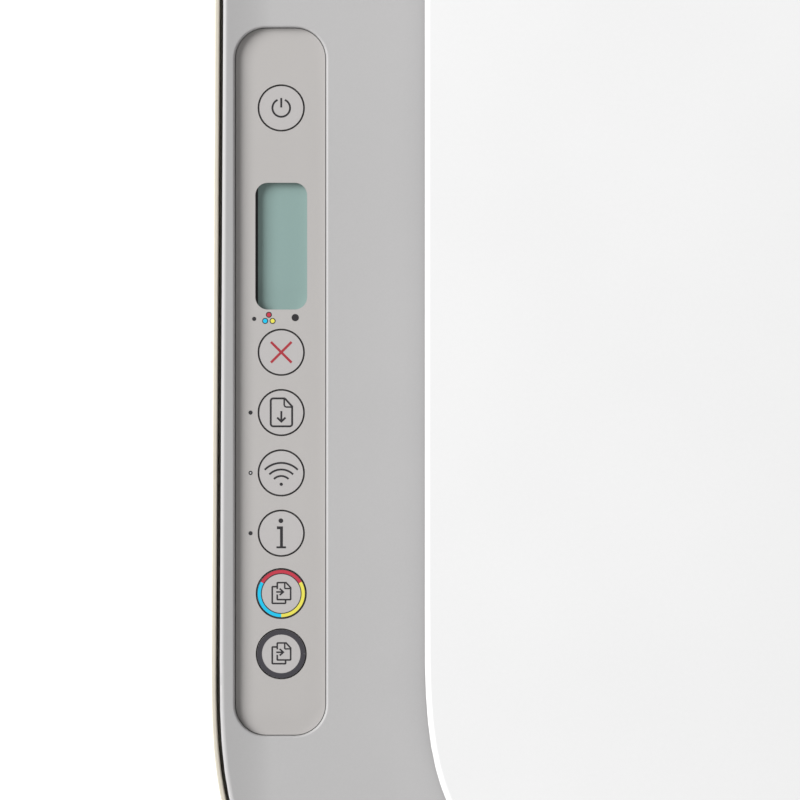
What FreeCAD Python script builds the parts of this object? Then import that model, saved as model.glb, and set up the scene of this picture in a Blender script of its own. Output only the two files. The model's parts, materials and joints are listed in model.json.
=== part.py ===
import FreeCAD, Part
import math
import os

# Desktop inkjet printer with a flatbed scanner on top: a two-cartridge print engine, rear paper
# input, front paper output and a key panel set into the left of the scanner deck.
# Millimetres. X runs left to right, Y front to rear, Z up. The origin is on the table, under the
# middle of the body.

# ---- overall body --------------------------------------------------------------------------------
BODY_WIDTH = 425.0
BODY_DEPTH = 304.0
BODY_HEIGHT = 154.0
REAR_TAPER = 1.2          # each side draws in this much towards the rear
CORNER_X = 62.0           # half axes and exponent of the soft front corners
CORNER_Y = 67.0
CORNER_POWER = 3.0
REAR_RADIUS = 14.0

# ---- levels --------------------------------------------------------------------------------------
BASE_BOTTOM = 3.0
BASE_FLOOR = 2.5          # thickness of the base plate
BASE_RIBS = (-100.0, 0.0, 100.0)
BASE_CROSS_RIBS = (-20.0, 100.0)
COVER_BOTTOM = 4.0
LEDGE_Z = 112.0           # the scanner unit rests at this level
RIM_Z = 118.0             # top of the thin lip of the lower covers
DECK_TOP = 142.5
LID_GAP = 0.8             # air under the rim of the closed lid

# ---- walls and shared clearances -----------------------------------------------------------------
WALL = 2.5
LIP_WALL = 1.0            # the lip round the deck
LIP_ROUND = 0.3
BODY_DRAFT = 5.0          # how far the foot of the covers stands inside their rim
DECK_INSET = 2.0          # the deck stands this far inside the rim, leaving a groove
SEAM = 0.4                # gap between neighbouring covers
SLIP = 0.3                # clearance of sliding pieces
RUN = 0.1                 # radial clearance of pins and shafts in their bores
EDGE_ROUND = 0.95

# ---- lid -----------------------------------------------------------------------------------------
KEY_STRIP = 47.1          # width of the deck strip left of the lid
LID_RIGHT_MARGIN = 6.0
LID_FRONT_MARGIN = 13.0
LID_REAR = 103.0
LID_CORNER_X = 73.0
LID_CORNER_Y = 65.0
LID_CORNER_POWER = 3.5
LID_RIGHT_CORNER_X = 58.0
LID_RIGHT_CORNER_Y = 62.0
LID_REAR_RADIUS = 8.0
LID_WALL = 2.2
LID_ROUND = 1.2
LID_RIB_X = 20.0          # rib from front to rear
PAD_THICK = 3.2
HINGE_SPOTS = (-104.0, 146.0)
HINGE_BEHIND = 4.5        # hinge axis behind the lid's rear edge
HINGE_PIN = 2.0
HINGE_ARM = 10.0
HINGE_EAR = 6.0
HINGE_EAR_RADIUS = 3.3
HINGE_KNUCKLE = 3.0

# ---- scan glass and scan head --------------------------------------------------------------------
GLASS_X = 300.0
GLASS_Y = 218.0
GLASS_LEFT = -131.0
GLASS_FRONT = -121.0
GLASS_THICK = 3.0
GLASS_SUNK = 0.2
GLASS_LEDGE = 4.0
HEAD_X = 22.0
HEAD_TOP = 136.6
ROD_RADIUS = 3.0
SCAN_ROD_Y = -14.0
SCAN_ROD_Z = 118.5
PULLEY_RADIUS = 5.0
BELT_THICK = 1.0
SCAN_BELT_Y = 16.0
SCAN_DRIVE_X = 184.0
SCAN_IDLE_X = -152.0

# ---- key panel -----------------------------------------------------------------------------------
PANEL_X = 20.3
PANEL_Y = 156.0
PANEL_LEFT = 5.2          # panel's left edge from the widest side of the body
PANEL_MIDDLE_Y = -23.6
PANEL_RADIUS = 7.0
PANEL_DEPTH = 2.0         # floor of the recess below the deck
PANEL_THICK = 2.0
PANEL_GAP = 0.15
PANEL_DRAFT = 0.15         # the recess narrows by this from the deck down to the panel
PANEL_EDGE = 0.45          # rounding of the recess's upper edge
PANEL_LEDGE = 1.5          # seat under the panel's edge
KEY_COLUMN = 15.5         # key centres from the widest side of the body
KEY_PITCH = 13.27
KEY_RADIUS = 4.92
COPY_KEY_RADIUS = 5.34
KEY_GAP = 0.28
KEY_TRAVEL = 0.6
KEY_FLANGE_SHARE = 0.3089  # hidden flange's reach as a share of the space between the widest caps
LOWEST_KEY_Y = -83.5
POWER_KEY_Y = 36.6
DISPLAY_X = 11.4
DISPLAY_Y = 27.9
DISPLAY_RADIUS = 2.75
DISPLAY_MIDDLE_Y = 6.2
LIGHT_RADIUS = 0.43
LIGHT_SPACE = 1.83        # small lights from the rims of the key caps
INK_LIGHT_Y = -9.8

# ---- print engine --------------------------------------------------------------------------------
FRAME_X = 170.0           # inner face of the side plates
PLATE = 3.0
PLATE_BOTTOM = 10.0
PLATE_TOP = 108.0
FEED_Y = 24.0
ROLLER_Z = 42.0
FEED_RADIUS = 6.0
SHAFT_RADIUS = 3.0
PINCH_RADIUS = 3.0
NIP = 0.3                 # room for the sheet between a roller and its counter roller
SHEET_HALF = 108.0        # half width of the rollers' working length
GEAR_MODULE = 0.8
GEAR_TEETH = 40
PINION_TEETH = 15
GEAR_WIDTH = 7.0
GEAR_SIDE_GAP = 3.0
BACKLASH = 0.3
PICK_ANGLE = 15.0
PICK_RADIUS = 14.0
PICK_HALF = 22.0
MOTOR_ANGLE = 90.0
PLATEN_TOP = 48.5
ROD_Y = 27.0
ROD_Z = 88.0
CARRIAGE_ROD = 4.0
CARRIAGE_X = 70.0
CARRIAGE_HOME = 134.0
CARRIAGE_FRONT = -27.0
CARRIAGE_BACK = 20.0
CARRIAGE_BOTTOM = 50.5
CARRIAGE_TOP = 92.0
CARTRIDGE_PITCH = 32.0
CARTRIDGE_WIDTH = 30.0
CARTRIDGE_TOP = 88.0
BELT_Z = 90.0
BELT_Y = 43.0
BELT_WIDTH = 6.0
PULLEY_X = 153.0
BEAM_Y = 55.0
BEAM_THICK = 1.5
BRACKET_TOP = 82.0
TIE_Y = -12.0
TIE_Z = 24.0
STATION_Y1 = 15.0
SLED_TRAVEL = 6.0

# ---- paper input ---------------------------------------------------------------------------------
SLOT_HALF = 121.0         # half width of the paper slot at the rear of the deck
SLOT_FRONT = 116.5
SLOT_REAR = 147.0
RAMP_LEAN = 22.0
RAMP_THICK = 3.0
RAMP_HALF = 118.0
RAMP_BELOW = 16.0         # the ramp reaches this far below and above the pick roller's line
RAMP_ABOVE = 90.0
SUPPORT_HALF = 80.0
SUPPORT_THICK = 2.5
EXTENDER_HALF = 50.0
EXTENDER_THICK = 2.0
GUIDE_OUT = 112.0         # outer position of the side guides' outer faces
GUIDE_THICK = 3.0
GUIDE_HEIGHT = 5.0
SHIELD_PIN = 1.1
SHIELD_DEPTH = 17.0

# ---- paper output --------------------------------------------------------------------------------
OUT_HALF = 118.0
OUT_FRONT = -147.0
OUT_DEPTH = 98.0
OUT_THICK = 5.0
OUT_BOTTOM = 13.0
EXTENSION_HALF = 60.0
EXTENSION_DEPTH = 84.0
DOOR_HALF = 148.5
DOOR_BOTTOM = 61.2
DOOR_TOP = 109.0
DOOR_AXIS_Z = 63.0
DOOR_PIN = 1.5
MOUTH_HALF = 122.0
MOUTH_TOP = 55.0
STOP_HALF = 18.0
STOP_LENGTH = 19.0

# ---- covers, fasteners and sockets ---------------------------------------------------------------
FOOT_RADIUS = 9.0
SCREW_RADIUS = 1.5
SCREW_HEAD = 2.8
INLET_X = 188.0
INLET_W = 19.0
INLET_H = 13.0
INLET_Z = 26.0
USB_X = 184.0
USB_W = 12.0
USB_H = 11.0
USB_Z = 70.0
VENT_COUNT = 9
VENT_START = -190.0
VENT_PITCH = 6.0
VENT_WIDTH = 2.5
VENT_LOW = 30.0
VENT_HIGH = 58.0

# ---- worked out from the above -------------------------------------------------------------------
HALF = BODY_WIDTH / 2
FRONT = -BODY_DEPTH / 2
REAR = BODY_DEPTH / 2
LID_LEFT = -HALF + KEY_STRIP
LID_RIGHT = HALF - LID_RIGHT_MARGIN
LID_FRONT = FRONT + LID_FRONT_MARGIN
LID_BOTTOM = DECK_TOP + LID_GAP
PAD_TOP = LID_BOTTOM - 0.4 + PAD_THICK
LID_AXIS_Y = LID_REAR + HINGE_BEHIND
LID_AXIS_Z = LID_BOTTOM + 1.2
GLASS_RIGHT = GLASS_LEFT + GLASS_X
GLASS_REAR = GLASS_FRONT + GLASS_Y
GLASS_TOP = DECK_TOP - GLASS_SUNK
HEAD_LEFT = GLASS_LEFT - HEAD_X
PAN_TOP = LEDGE_Z + 2.0
PANEL_TOP = DECK_TOP - PANEL_DEPTH
PANEL_UNDER = PANEL_TOP - PANEL_THICK
KEY_X = -HALF + KEY_COLUMN
KEY_FLANGE = KEY_FLANGE_SHARE * (KEY_PITCH - 2 * max(KEY_RADIUS, COPY_KEY_RADIUS))
LIGHT_X = KEY_X - KEY_RADIUS - LIGHT_SPACE
PANEL_X0 = -HALF + PANEL_LEFT
PANEL_X1 = PANEL_X0 + PANEL_X
PANEL_Y0 = PANEL_MIDDLE_Y - PANEL_Y / 2
PANEL_Y1 = PANEL_MIDDLE_Y + PANEL_Y / 2
BOARD_TOP = PANEL_UNDER - 5.5
GEAR_RADIUS = GEAR_MODULE * GEAR_TEETH / 2
PINION_RADIUS = GEAR_MODULE * PINION_TEETH / 2
GEAR_X1 = -FRAME_X - PLATE - GEAR_SIDE_GAP
GEAR_X0 = GEAR_X1 - GEAR_WIDTH
IDLER_Y = FEED_Y - 2 * GEAR_RADIUS
EJECT_Y = FEED_Y - 4 * GEAR_RADIUS
PICK_TURN = math.radians(PICK_ANGLE)
PICK_IDLER_Y = FEED_Y + 2 * GEAR_RADIUS * math.cos(PICK_TURN)
PICK_IDLER_Z = ROLLER_Z + 2 * GEAR_RADIUS * math.sin(PICK_TURN)
PICK_Y = FEED_Y + 4 * GEAR_RADIUS * math.cos(PICK_TURN)
PICK_Z = ROLLER_Z + 4 * GEAR_RADIUS * math.sin(PICK_TURN)
MOTOR_TURN = math.radians(MOTOR_ANGLE)
MOTOR_Y = FEED_Y + (GEAR_RADIUS + PINION_RADIUS) * math.cos(MOTOR_TURN)
MOTOR_Z = ROLLER_Z + (GEAR_RADIUS + PINION_RADIUS) * math.sin(MOTOR_TURN)
PINCH_Z = ROLLER_Z + FEED_RADIUS + NIP + PINCH_RADIUS
BRACKET_X = GEAR_X0 - 3.0
STATION_X0 = SHEET_HALF + 1.0
STATION_X1 = FRAME_X - 2.0
STATION_Y0 = CARRIAGE_FRONT + 3.0
SIDE_END_Y = REAR - 18.0
SIDE_END_X = DOOR_HALF + 3.3
STOP_Y = OUT_FRONT + 3.5
STOP_Z = OUT_BOTTOM + 1.5 + SLIP + 1.2

Vec = FreeCAD.Vector


# ---- shape helpers -------------------------------------------------------------------------------

def box(x0, x1, y0, y1, z0, z1):
    """Box between two corners, given axis by axis."""
    return Part.makeBox(x1 - x0, y1 - y0, z1 - z0, Vec(x0, y0, z0))


def rod(radius, start, end):
    """Round bar from one point to another."""
    along = Vec(*end) - Vec(*start)
    return Part.makeCylinder(radius, along.Length, Vec(*start), along)


def joined(*shapes):
    """One solid out of several that touch or overlap."""
    return shapes[0].multiFuse(list(shapes[1:])).removeSplitter()


def group(*shapes):
    """Several separate solids kept in one node."""
    return Part.makeCompound(list(shapes))


def rounded_box(x0, x1, y0, y1, z0, z1, radius):
    """Box with its four upright edges rounded."""
    return round_upright(box(x0, x1, y0, y1, z0, z1), radius)


def round_upright(shape, radius):
    """Round every upright straight edge of a shape."""
    upright = [e for e in shape.Edges
               if abs(e.tangentAt(e.FirstParameter).z) > 0.999 and len(e.Vertexes) == 2]
    return shape.makeFillet(radius, upright)


def round_top(shape, z, radius):
    """Round the outer edges that lie in the plane at height z."""
    face = max((f for f in shape.Faces if abs(f.BoundBox.ZMin - z) < 1e-6
                and abs(f.BoundBox.ZMax - z) < 1e-6), key=lambda f: f.BoundBox.DiagonalLength)
    return shape.makeFillet(radius, face.OuterWire.Edges)


def soft_corner(centre, half_x, half_y, power, start_dir, end_dir):
    """Superellipse quarter from the x side to the y side; half_x and half_y carry their signs."""
    points = []
    steps = 9
    for i in range(steps + 1):
        t = math.pi / 2 * i / steps
        x = centre[0] + half_x * abs(math.cos(t)) ** (2 / power)
        y = centre[1] + half_y * abs(math.sin(t)) ** (2 / power)
        points.append((x, y))
    points[0] = (centre[0] + half_x, centre[1])
    points[-1] = (centre[0], centre[1] + half_y)
    curve = Part.BSplineCurve()
    curve.interpolate(Points=[Vec(x, y, 0) for x, y in points],
                      InitialTangent=Vec(*start_dir), FinalTangent=Vec(*end_dir))
    return curve.toShape()


def outline(left, right, front, rear, left_corner, right_corner, rear_radius, z, taper=0.0):
    """Closed plan outline with soft front corners and round rear corners, at height z.

    A corner is (half x, half y, power). The sides draw in by taper towards the rear.
    """
    ax, ay, ap = left_corner
    bx, by, bp = right_corner
    r = rear_radius
    left_dir = Vec(left + taper, rear - r, 0) - Vec(left, front + ay, 0)
    right_dir = Vec(right - taper, rear - r, 0) - Vec(right, front + by, 0)
    left_up = (left_dir.x, left_dir.y, 0)
    left_down = (-left_dir.x, -left_dir.y, 0)
    right_up = (right_dir.x, right_dir.y, 0)
    right_down = (-right_dir.x, -right_dir.y, 0)
    flat = (1, 0, 0)
    back = (-1, 0, 0)
    edges = [
        soft_corner((left + ax, front + ay), -ax, -ay, ap, left_down, flat),
        Part.makeLine(Vec(left + ax, front, 0), Vec(right - bx, front, 0)),
        soft_corner((right - bx, front + by), bx, -by, bp, right_down, back),
        Part.makeLine(Vec(right, front + by, 0), Vec(right - taper, rear - r, 0)),
        soft_corner((right - taper - r, rear - r), r, r, 2.0, right_up, back),
        Part.makeLine(Vec(right - taper - r, rear, 0), Vec(left + taper + r, rear, 0)),
        soft_corner((left + taper + r, rear - r), -r, r, 2.0, left_up, flat),
        Part.makeLine(Vec(left + taper, rear - r, 0), Vec(left, front + ay, 0)),
    ]
    wire = Part.Wire(Part.__sortEdges__(edges))
    wire.translate(Vec(0, 0, z))
    return wire


def body_wire(inset, z):
    """Plan outline of the body, inset by a distance, at height z."""
    corner = (CORNER_X - inset, CORNER_Y - inset, CORNER_POWER)
    return outline(-HALF + inset, HALF - inset, FRONT + inset, REAR - inset,
                   corner, corner, REAR_RADIUS - inset, z, REAR_TAPER)


def body_prism(inset, z0, z1):
    """Straight-sided solid of the body's plan, inset by a distance."""
    return Part.Face(body_wire(inset, z0)).extrude(Vec(0, 0, z1 - z0))


def draft_inset(z):
    """How far the drafted covers stand inside the body's widest outline at height z."""
    return BODY_DRAFT * (RIM_Z - z) / (RIM_Z - COVER_BOTTOM)


def body_loft(inset, z0, z1):
    """Solid that follows the draft of the covers, inset by a distance from their face."""
    low = body_wire(draft_inset(z0) + inset, z0)
    high = body_wire(draft_inset(z1) + inset, z1)
    return Part.makeLoft([low, high], True, True)


def gear_outline(teeth, y, z, x, phase):
    """Involute gear outline about an X axis at (y, z); phase is the angle of one tooth."""
    pitch = GEAR_MODULE * teeth / 2
    base = pitch * math.cos(math.radians(20))
    root = pitch - 1.25 * GEAR_MODULE
    tip = pitch + 0.85 * GEAR_MODULE

    def half_angle(radius):
        pressure = math.acos(min(1.0, base / max(radius, base)))
        rise = math.tan(math.radians(20)) - math.radians(20)
        return math.pi / (2 * teeth) - BACKLASH / (4 * pitch) + rise - (
            math.tan(pressure) - pressure)

    flank = [root, max(base, root + 0.05), (base + pitch) / 2 + 0.1, pitch + 0.1, tip]
    points = []
    for k in range(teeth):
        middle = math.radians(phase) + 2 * math.pi * k / teeth
        rising = [(r, middle - half_angle(r)) for r in flank]
        falling = [(r, middle + half_angle(r)) for r in reversed(flank)]
        points += rising + falling
    ring = [Vec(x, y + r * math.cos(a), z + r * math.sin(a)) for r, a in points]
    return Part.makePolygon(ring + ring[:1])


def gear(teeth, y, z, phase, bore):
    """Spur gear in the gear plane left of the frame, with a round bore."""
    blank = Part.Face(gear_outline(teeth, y, z, GEAR_X0, phase)).extrude(Vec(GEAR_WIDTH, 0, 0))
    if bore:
        blank = blank.cut(rod(bore, (GEAR_X0 - 1, y, z), (GEAR_X1 + 1, y, z)))
    return blank


def mesh_phase(phase, teeth, direction, mate_teeth):
    """Phase of the mating gear so that its gap meets the first gear's tooth, in degrees."""
    return direction + 180 + 180 / mate_teeth - (phase - direction) * teeth / mate_teeth


def both_sides(x0, x1, *rest):
    """A box and its mirror image about the middle of the machine."""
    return [box(x0, x1, *rest), box(-x1, -x0, *rest)]


def on_ramp(shape):
    """Carry a shape drawn at the pick roller's line onto the ramp.

    Drawn with Y as the distance behind the ramp's face and Z as the way up the ramp.
    """
    moved = shape.copy()
    moved.rotate(Vec(0, 0, 0), Vec(1, 0, 0), -RAMP_LEAN)
    lean = math.radians(RAMP_LEAN)
    reach = PICK_RADIUS + 2 * NIP
    moved.translate(Vec(0, PICK_Y + reach * math.cos(lean), PICK_Z - reach * math.sin(lean)))
    return moved


# ---- lower body ----------------------------------------------------------------------------------

def cover_shell():
    """The whole ring of lower covers before it is split, with a thin lip round its top."""
    outer = body_loft(0.0, COVER_BOTTOM, RIM_Z)
    room = body_loft(WALL, COVER_BOTTOM - 1, LEDGE_Z)
    lip_room = body_loft(LIP_WALL, LEDGE_Z - 1, RIM_Z + 1)
    shell = outer.cut(room).cut(lip_room)
    top = max(shell.Faces, key=lambda f: f.CenterOfMass.z)
    return shell.makeFillet(LIP_ROUND, top.Edges)


def left_side_cover(shell):
    """Left cover with the soft front corner."""
    far = HALF + 10
    return shell.common(box(-far, -SIDE_END_X, FRONT - 10, SIDE_END_Y, 0, RIM_Z + 5))


def right_side_cover(shell):
    """Right cover, the mirror of the left one."""
    far = HALF + 10
    return shell.common(box(SIDE_END_X, far, FRONT - 10, SIDE_END_Y, 0, RIM_Z + 5))


def rear_cover(shell):
    """Rear cover with vents and openings for the mains inlet and the data port."""
    far = HALF + 10
    piece = shell.common(box(-far, far, SIDE_END_Y + SEAM, REAR + 10, 0, RIM_Z + 5))
    piece = piece.cut(box(INLET_X - INLET_W / 2 - SLIP, INLET_X + INLET_W / 2 + SLIP, SIDE_END_Y,
                          REAR + 5, INLET_Z - SLIP, INLET_Z + INLET_H + SLIP))
    piece = piece.cut(box(USB_X - USB_W / 2 - SLIP, USB_X + USB_W / 2 + SLIP, SIDE_END_Y, REAR + 5,
                          USB_Z - SLIP, USB_Z + USB_H + SLIP))
    for i in range(VENT_COUNT):
        x = VENT_START + i * VENT_PITCH
        piece = piece.cut(box(x, x + VENT_WIDTH, SIDE_END_Y, REAR + 5, VENT_LOW, VENT_HIGH))
    return piece


def door_axis_y():
    """Depth of the door's hinge axis, just behind the drafted front wall."""
    return FRONT + draft_inset(DOOR_AXIS_Z) + WALL


def front_bezel(shell):
    """Front frame round the paper mouth and the cartridge door, with ears for the door's pins."""
    edge = SIDE_END_X - SEAM
    gap = DOOR_HALF + SEAM
    piece = shell.common(box(-edge, edge, FRONT - 10, FRONT + 40, 0, RIM_Z + 5))
    piece = piece.cut(box(-gap, gap, FRONT - 10, FRONT + 40, DOOR_BOTTOM - 1.9, DOOR_TOP + SEAM))
    piece = piece.cut(box(-MOUTH_HALF, MOUTH_HALF, FRONT - 10, FRONT + 40, OUT_BOTTOM - 1, MOUTH_TOP))
    axis_y = door_axis_y()
    ears = both_sides(gap + 0.1, edge, axis_y - 1.6, axis_y + 3.5, DOOR_BOTTOM - 4, DOOR_AXIS_Z + 3.5)
    piece = joined(piece, *ears)
    return piece.cut(rod(DOOR_PIN + RUN, (-edge - 5, axis_y, DOOR_AXIS_Z), (edge + 5, axis_y, DOOR_AXIS_Z)))


def cartridge_door(shell):
    """Front door cut from the same wall, with a finger lip, stiffening ribs and hinge pins."""
    panel = shell.common(box(-DOOR_HALF, DOOR_HALF, FRONT - 10, FRONT + 40, DOOR_BOTTOM, DOOR_TOP))
    axis_y = door_axis_y()
    knuckle = DOOR_PIN + 0.4
    parts = [panel]
    parts += both_sides(DOOR_HALF - 6, DOOR_HALF, axis_y - 1.4, axis_y + knuckle,
                        DOOR_AXIS_Z - knuckle + 0.1, DOOR_AXIS_Z + knuckle)
    for side in (-1, 1):
        parts.append(rod(DOOR_PIN, (side * (DOOR_HALF - 6), axis_y, DOOR_AXIS_Z),
                         (side * (DOOR_HALF + 2.2), axis_y, DOOR_AXIS_Z)))
    for x in (-90, -30, 30, 90):
        parts.append(box(x - 1, x + 1, FRONT + WALL, FRONT + WALL + 4.5, DOOR_AXIS_Z + 6, DOOR_TOP - 5))
    door = joined(*parts)
    return door.cut(box(-26, 26, FRONT - 5, FRONT + 1.6, DOOR_TOP - 3.2, DOOR_TOP + 1))


def foot_spots():
    """Plan places of the four feet."""
    return [(x, y) for x in (-HALF + 42, HALF - 42) for y in (FRONT + 45, REAR - 34)]


def frame_feet():
    """Plan places where screws from below hold the side plates."""
    return [(s * (FRAME_X - 7), y) for s in (-1, 1) for y in (-36.0, 78.0)]


def base_chassis():
    """Bottom tray with a low wall, ribs under the output tray, foot pockets and mouth side walls."""
    inset = BODY_DRAFT + WALL + 0.8
    floor_top = BASE_BOTTOM + BASE_FLOOR
    tray = body_prism(inset, BASE_BOTTOM, BASE_BOTTOM + 17)
    tray = tray.cut(body_prism(inset + WALL, floor_top, BASE_BOTTOM + 30))
    tray = tray.cut(box(-MOUTH_HALF, MOUTH_HALF, FRONT - 5, FRONT + 30, OUT_BOTTOM - 1.5, 60))
    inside = body_prism(inset + 1, BASE_BOTTOM + 1, BASE_BOTTOM + 15)
    ribs = [box(x - 1, x + 1, FRONT, REAR, floor_top - 1, OUT_BOTTOM - SLIP) for x in BASE_RIBS]
    ribs += [box(-HALF, HALF, y - 1, y + 1, floor_top - 1, OUT_BOTTOM - 3) for y in BASE_CROSS_RIBS]
    pads = [box(x - 8, x + 8, y - 8, y + 8, floor_top - 1, floor_top + 4.5) for x, y in frame_feet()]
    back = EJECT_Y - 14
    walls = both_sides(MOUTH_HALF + 1, MOUTH_HALF + 3, FRONT + 12, back, floor_top - 1, MOUTH_TOP)
    shelves = both_sides(MOUTH_HALF + 2, FRAME_X - 22, FRONT + 12, back, MOUTH_TOP - 2, MOUTH_TOP)
    tray = joined(tray, *[rib.common(inside) for rib in ribs], *pads, *walls, *shelves)
    for x, y in foot_spots():
        tray = tray.cut(rod(FOOT_RADIUS + 0.1, (x, y, BASE_BOTTOM - 1), (x, y, BASE_BOTTOM + 1.5)))
    for x, y in frame_feet():
        tray = tray.cut(rod(SCREW_RADIUS + 0.3, (x, y, 0), (x, y, 30)))
        tray = tray.cut(rod(SCREW_HEAD + 0.4, (x, y, 0), (x, y, BASE_BOTTOM + 4.5)))
    return tray


def rubber_feet():
    """Four soft discs that stand on the table."""
    feet = []
    for x, y in foot_spots():
        foot = rod(FOOT_RADIUS, (x, y, 0), (x, y, BASE_BOTTOM + 1.5))
        low = [e for e in foot.Edges if e.BoundBox.ZMax < 0.01]
        feet.append(foot.makeFillet(0.8, low))
    return group(*feet)


def screw(x, y, head_z, length):
    """Pan-head screw whose head is at the bottom; a negative length points down."""
    step = 1 if length > 0 else -1
    head = rod(SCREW_HEAD, (x, y, head_z), (x, y, head_z + 2.0 * step))
    shank = rod(SCREW_RADIUS, (x, y, head_z), (x, y, head_z + length))
    drive = box(x - 1.6, x + 1.6, y - 0.4, y + 0.4, head_z - 0.9, head_z + 0.9)
    cross = box(x - 0.4, x + 0.4, y - 1.6, y + 1.6, head_z - 0.9, head_z + 0.9)
    return joined(head, shank).cut(drive).cut(cross)


def housing_screws():
    """Screws of the engine frame, from below, and of the key board, from above."""
    pad_seat = BASE_BOTTOM + 4.5
    low = [screw(x, y, pad_seat - 2.0, 12.0) for x, y in frame_feet()]
    high = [screw(x, y, BOARD_TOP + 2.0, -9.0) for x, y in board_posts()]
    return group(*low, *high)


# ---- scanner -------------------------------------------------------------------------------------

def board_posts():
    """Plan places of the posts that carry the key board."""
    return [(KEY_X + 5.5, y) for y in (PANEL_Y0 + 8, POWER_KEY_Y - 9.5, PANEL_Y1 - 7)]


def panel_shape(grow, z0, z1):
    """Prism of the key panel's outline, grown by a distance."""
    return rounded_box(PANEL_X0 - grow, PANEL_X1 + grow, PANEL_Y0 - grow, PANEL_Y1 + grow,
                       z0, z1, PANEL_RADIUS + grow)


def panel_recess():
    """Room above the key panel, with walls that lean outwards to the deck."""
    low = panel_shape(-PANEL_DRAFT, PANEL_TOP, DECK_TOP)
    high = panel_shape(0.0, PANEL_TOP, DECK_TOP)
    floor = min(low.Faces, key=lambda f: f.CenterOfMass.z)
    mouth = max(high.Faces, key=lambda f: f.CenterOfMass.z)
    return Part.makeLoft([floor.OuterWire, mouth.OuterWire], True, True)


def scanner_deck():
    """Top deck with a skirt, the key recess, the glass opening and the rear paper notch."""
    deck = body_prism(DECK_INSET, LEDGE_Z + 1, DECK_TOP)
    deck = round_top(deck, DECK_TOP, EDGE_ROUND)
    deck = deck.cut(body_prism(DECK_INSET + WALL, LEDGE_Z, DECK_TOP - WALL))
    collar_low = GLASS_TOP - GLASS_THICK - 2.1
    collar = box(GLASS_LEFT - 3, GLASS_RIGHT + 3, GLASS_FRONT - 3, GLASS_REAR + 3,
                 collar_low, DECK_TOP - 1)
    panel_collar = panel_shape(1.5, PANEL_UNDER - 2.2, DECK_TOP - 1)
    room = body_prism(DECK_INSET + 1, LEDGE_Z, DECK_TOP)
    slot_wall = box(-SLOT_HALF - WALL, SLOT_HALF + WALL, SLOT_FRONT - WALL, REAR, LEDGE_Z + 1, DECK_TOP - 1)
    shield_y, shield_z = shield_axis()
    ears = [box(x - HINGE_ARM / 2 - SLIP - HINGE_EAR, x + HINGE_ARM / 2 + SLIP + HINGE_EAR,
                LID_AXIS_Y - HINGE_EAR_RADIUS, LID_AXIS_Y + HINGE_EAR_RADIUS,
                DECK_TOP - 1, LID_AXIS_Z) for x in HINGE_SPOTS]
    rounds = [rod(HINGE_EAR_RADIUS, (x - HINGE_ARM / 2 - SLIP - HINGE_EAR, LID_AXIS_Y, LID_AXIS_Z),
                  (x + HINGE_ARM / 2 + SLIP + HINGE_EAR, LID_AXIS_Y, LID_AXIS_Z))
              for x in HINGE_SPOTS]
    deck = joined(deck, collar, panel_collar.common(room), slot_wall.common(room), *ears, *rounds)
    for x in HINGE_SPOTS:
        reach = HINGE_ARM / 2 + SLIP
        deck = deck.cut(box(x - reach, x + reach, LID_AXIS_Y - 5, LID_AXIS_Y + 5, DECK_TOP, DECK_TOP + 9))
        deck = deck.cut(rod(HINGE_KNUCKLE + SLIP, (x - reach, LID_AXIS_Y, LID_AXIS_Z),
                            (x + reach, LID_AXIS_Y, LID_AXIS_Z)))
        deck = deck.cut(rod(HINGE_PIN + RUN, (x - 20, LID_AXIS_Y, LID_AXIS_Z),
                            (x + 20, LID_AXIS_Y, LID_AXIS_Z)))
    deck = deck.cut(box(GLASS_LEFT, GLASS_RIGHT, GLASS_FRONT, GLASS_REAR,
                        GLASS_TOP - GLASS_THICK, DECK_TOP + 1))
    deck = deck.cut(box(GLASS_LEFT + GLASS_LEDGE, GLASS_RIGHT - GLASS_LEDGE,
                        GLASS_FRONT + GLASS_LEDGE, GLASS_REAR - GLASS_LEDGE, collar_low - 1, DECK_TOP))
    deck = deck.cut(panel_recess())
    deck = deck.cut(panel_shape(-PANEL_DRAFT, PANEL_UNDER, PANEL_TOP + 0.01))
    deck = deck.cut(panel_shape(-PANEL_DRAFT - PANEL_LEDGE, PANEL_UNDER - 5, PANEL_TOP))
    mouth = [e for e in deck.Edges if abs(e.BoundBox.ZMin - DECK_TOP) < 1e-4
             and e.BoundBox.XMin > PANEL_X0 - 0.01 and e.BoundBox.XMax < PANEL_X1 + 0.01
             and e.BoundBox.YMin > PANEL_Y0 - 0.01 and e.BoundBox.YMax < PANEL_Y1 + 0.01]
    deck = deck.makeFillet(PANEL_EDGE, mouth)
    deck = deck.cut(box(-SLOT_HALF, SLOT_HALF, SLOT_FRONT, SLOT_REAR, LEDGE_Z, DECK_TOP + 1))
    reach = SLOT_HALF + 1.6
    return deck.cut(rod(SHIELD_PIN + RUN, (-reach, shield_y, shield_z), (reach, shield_y, shield_z)))


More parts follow.
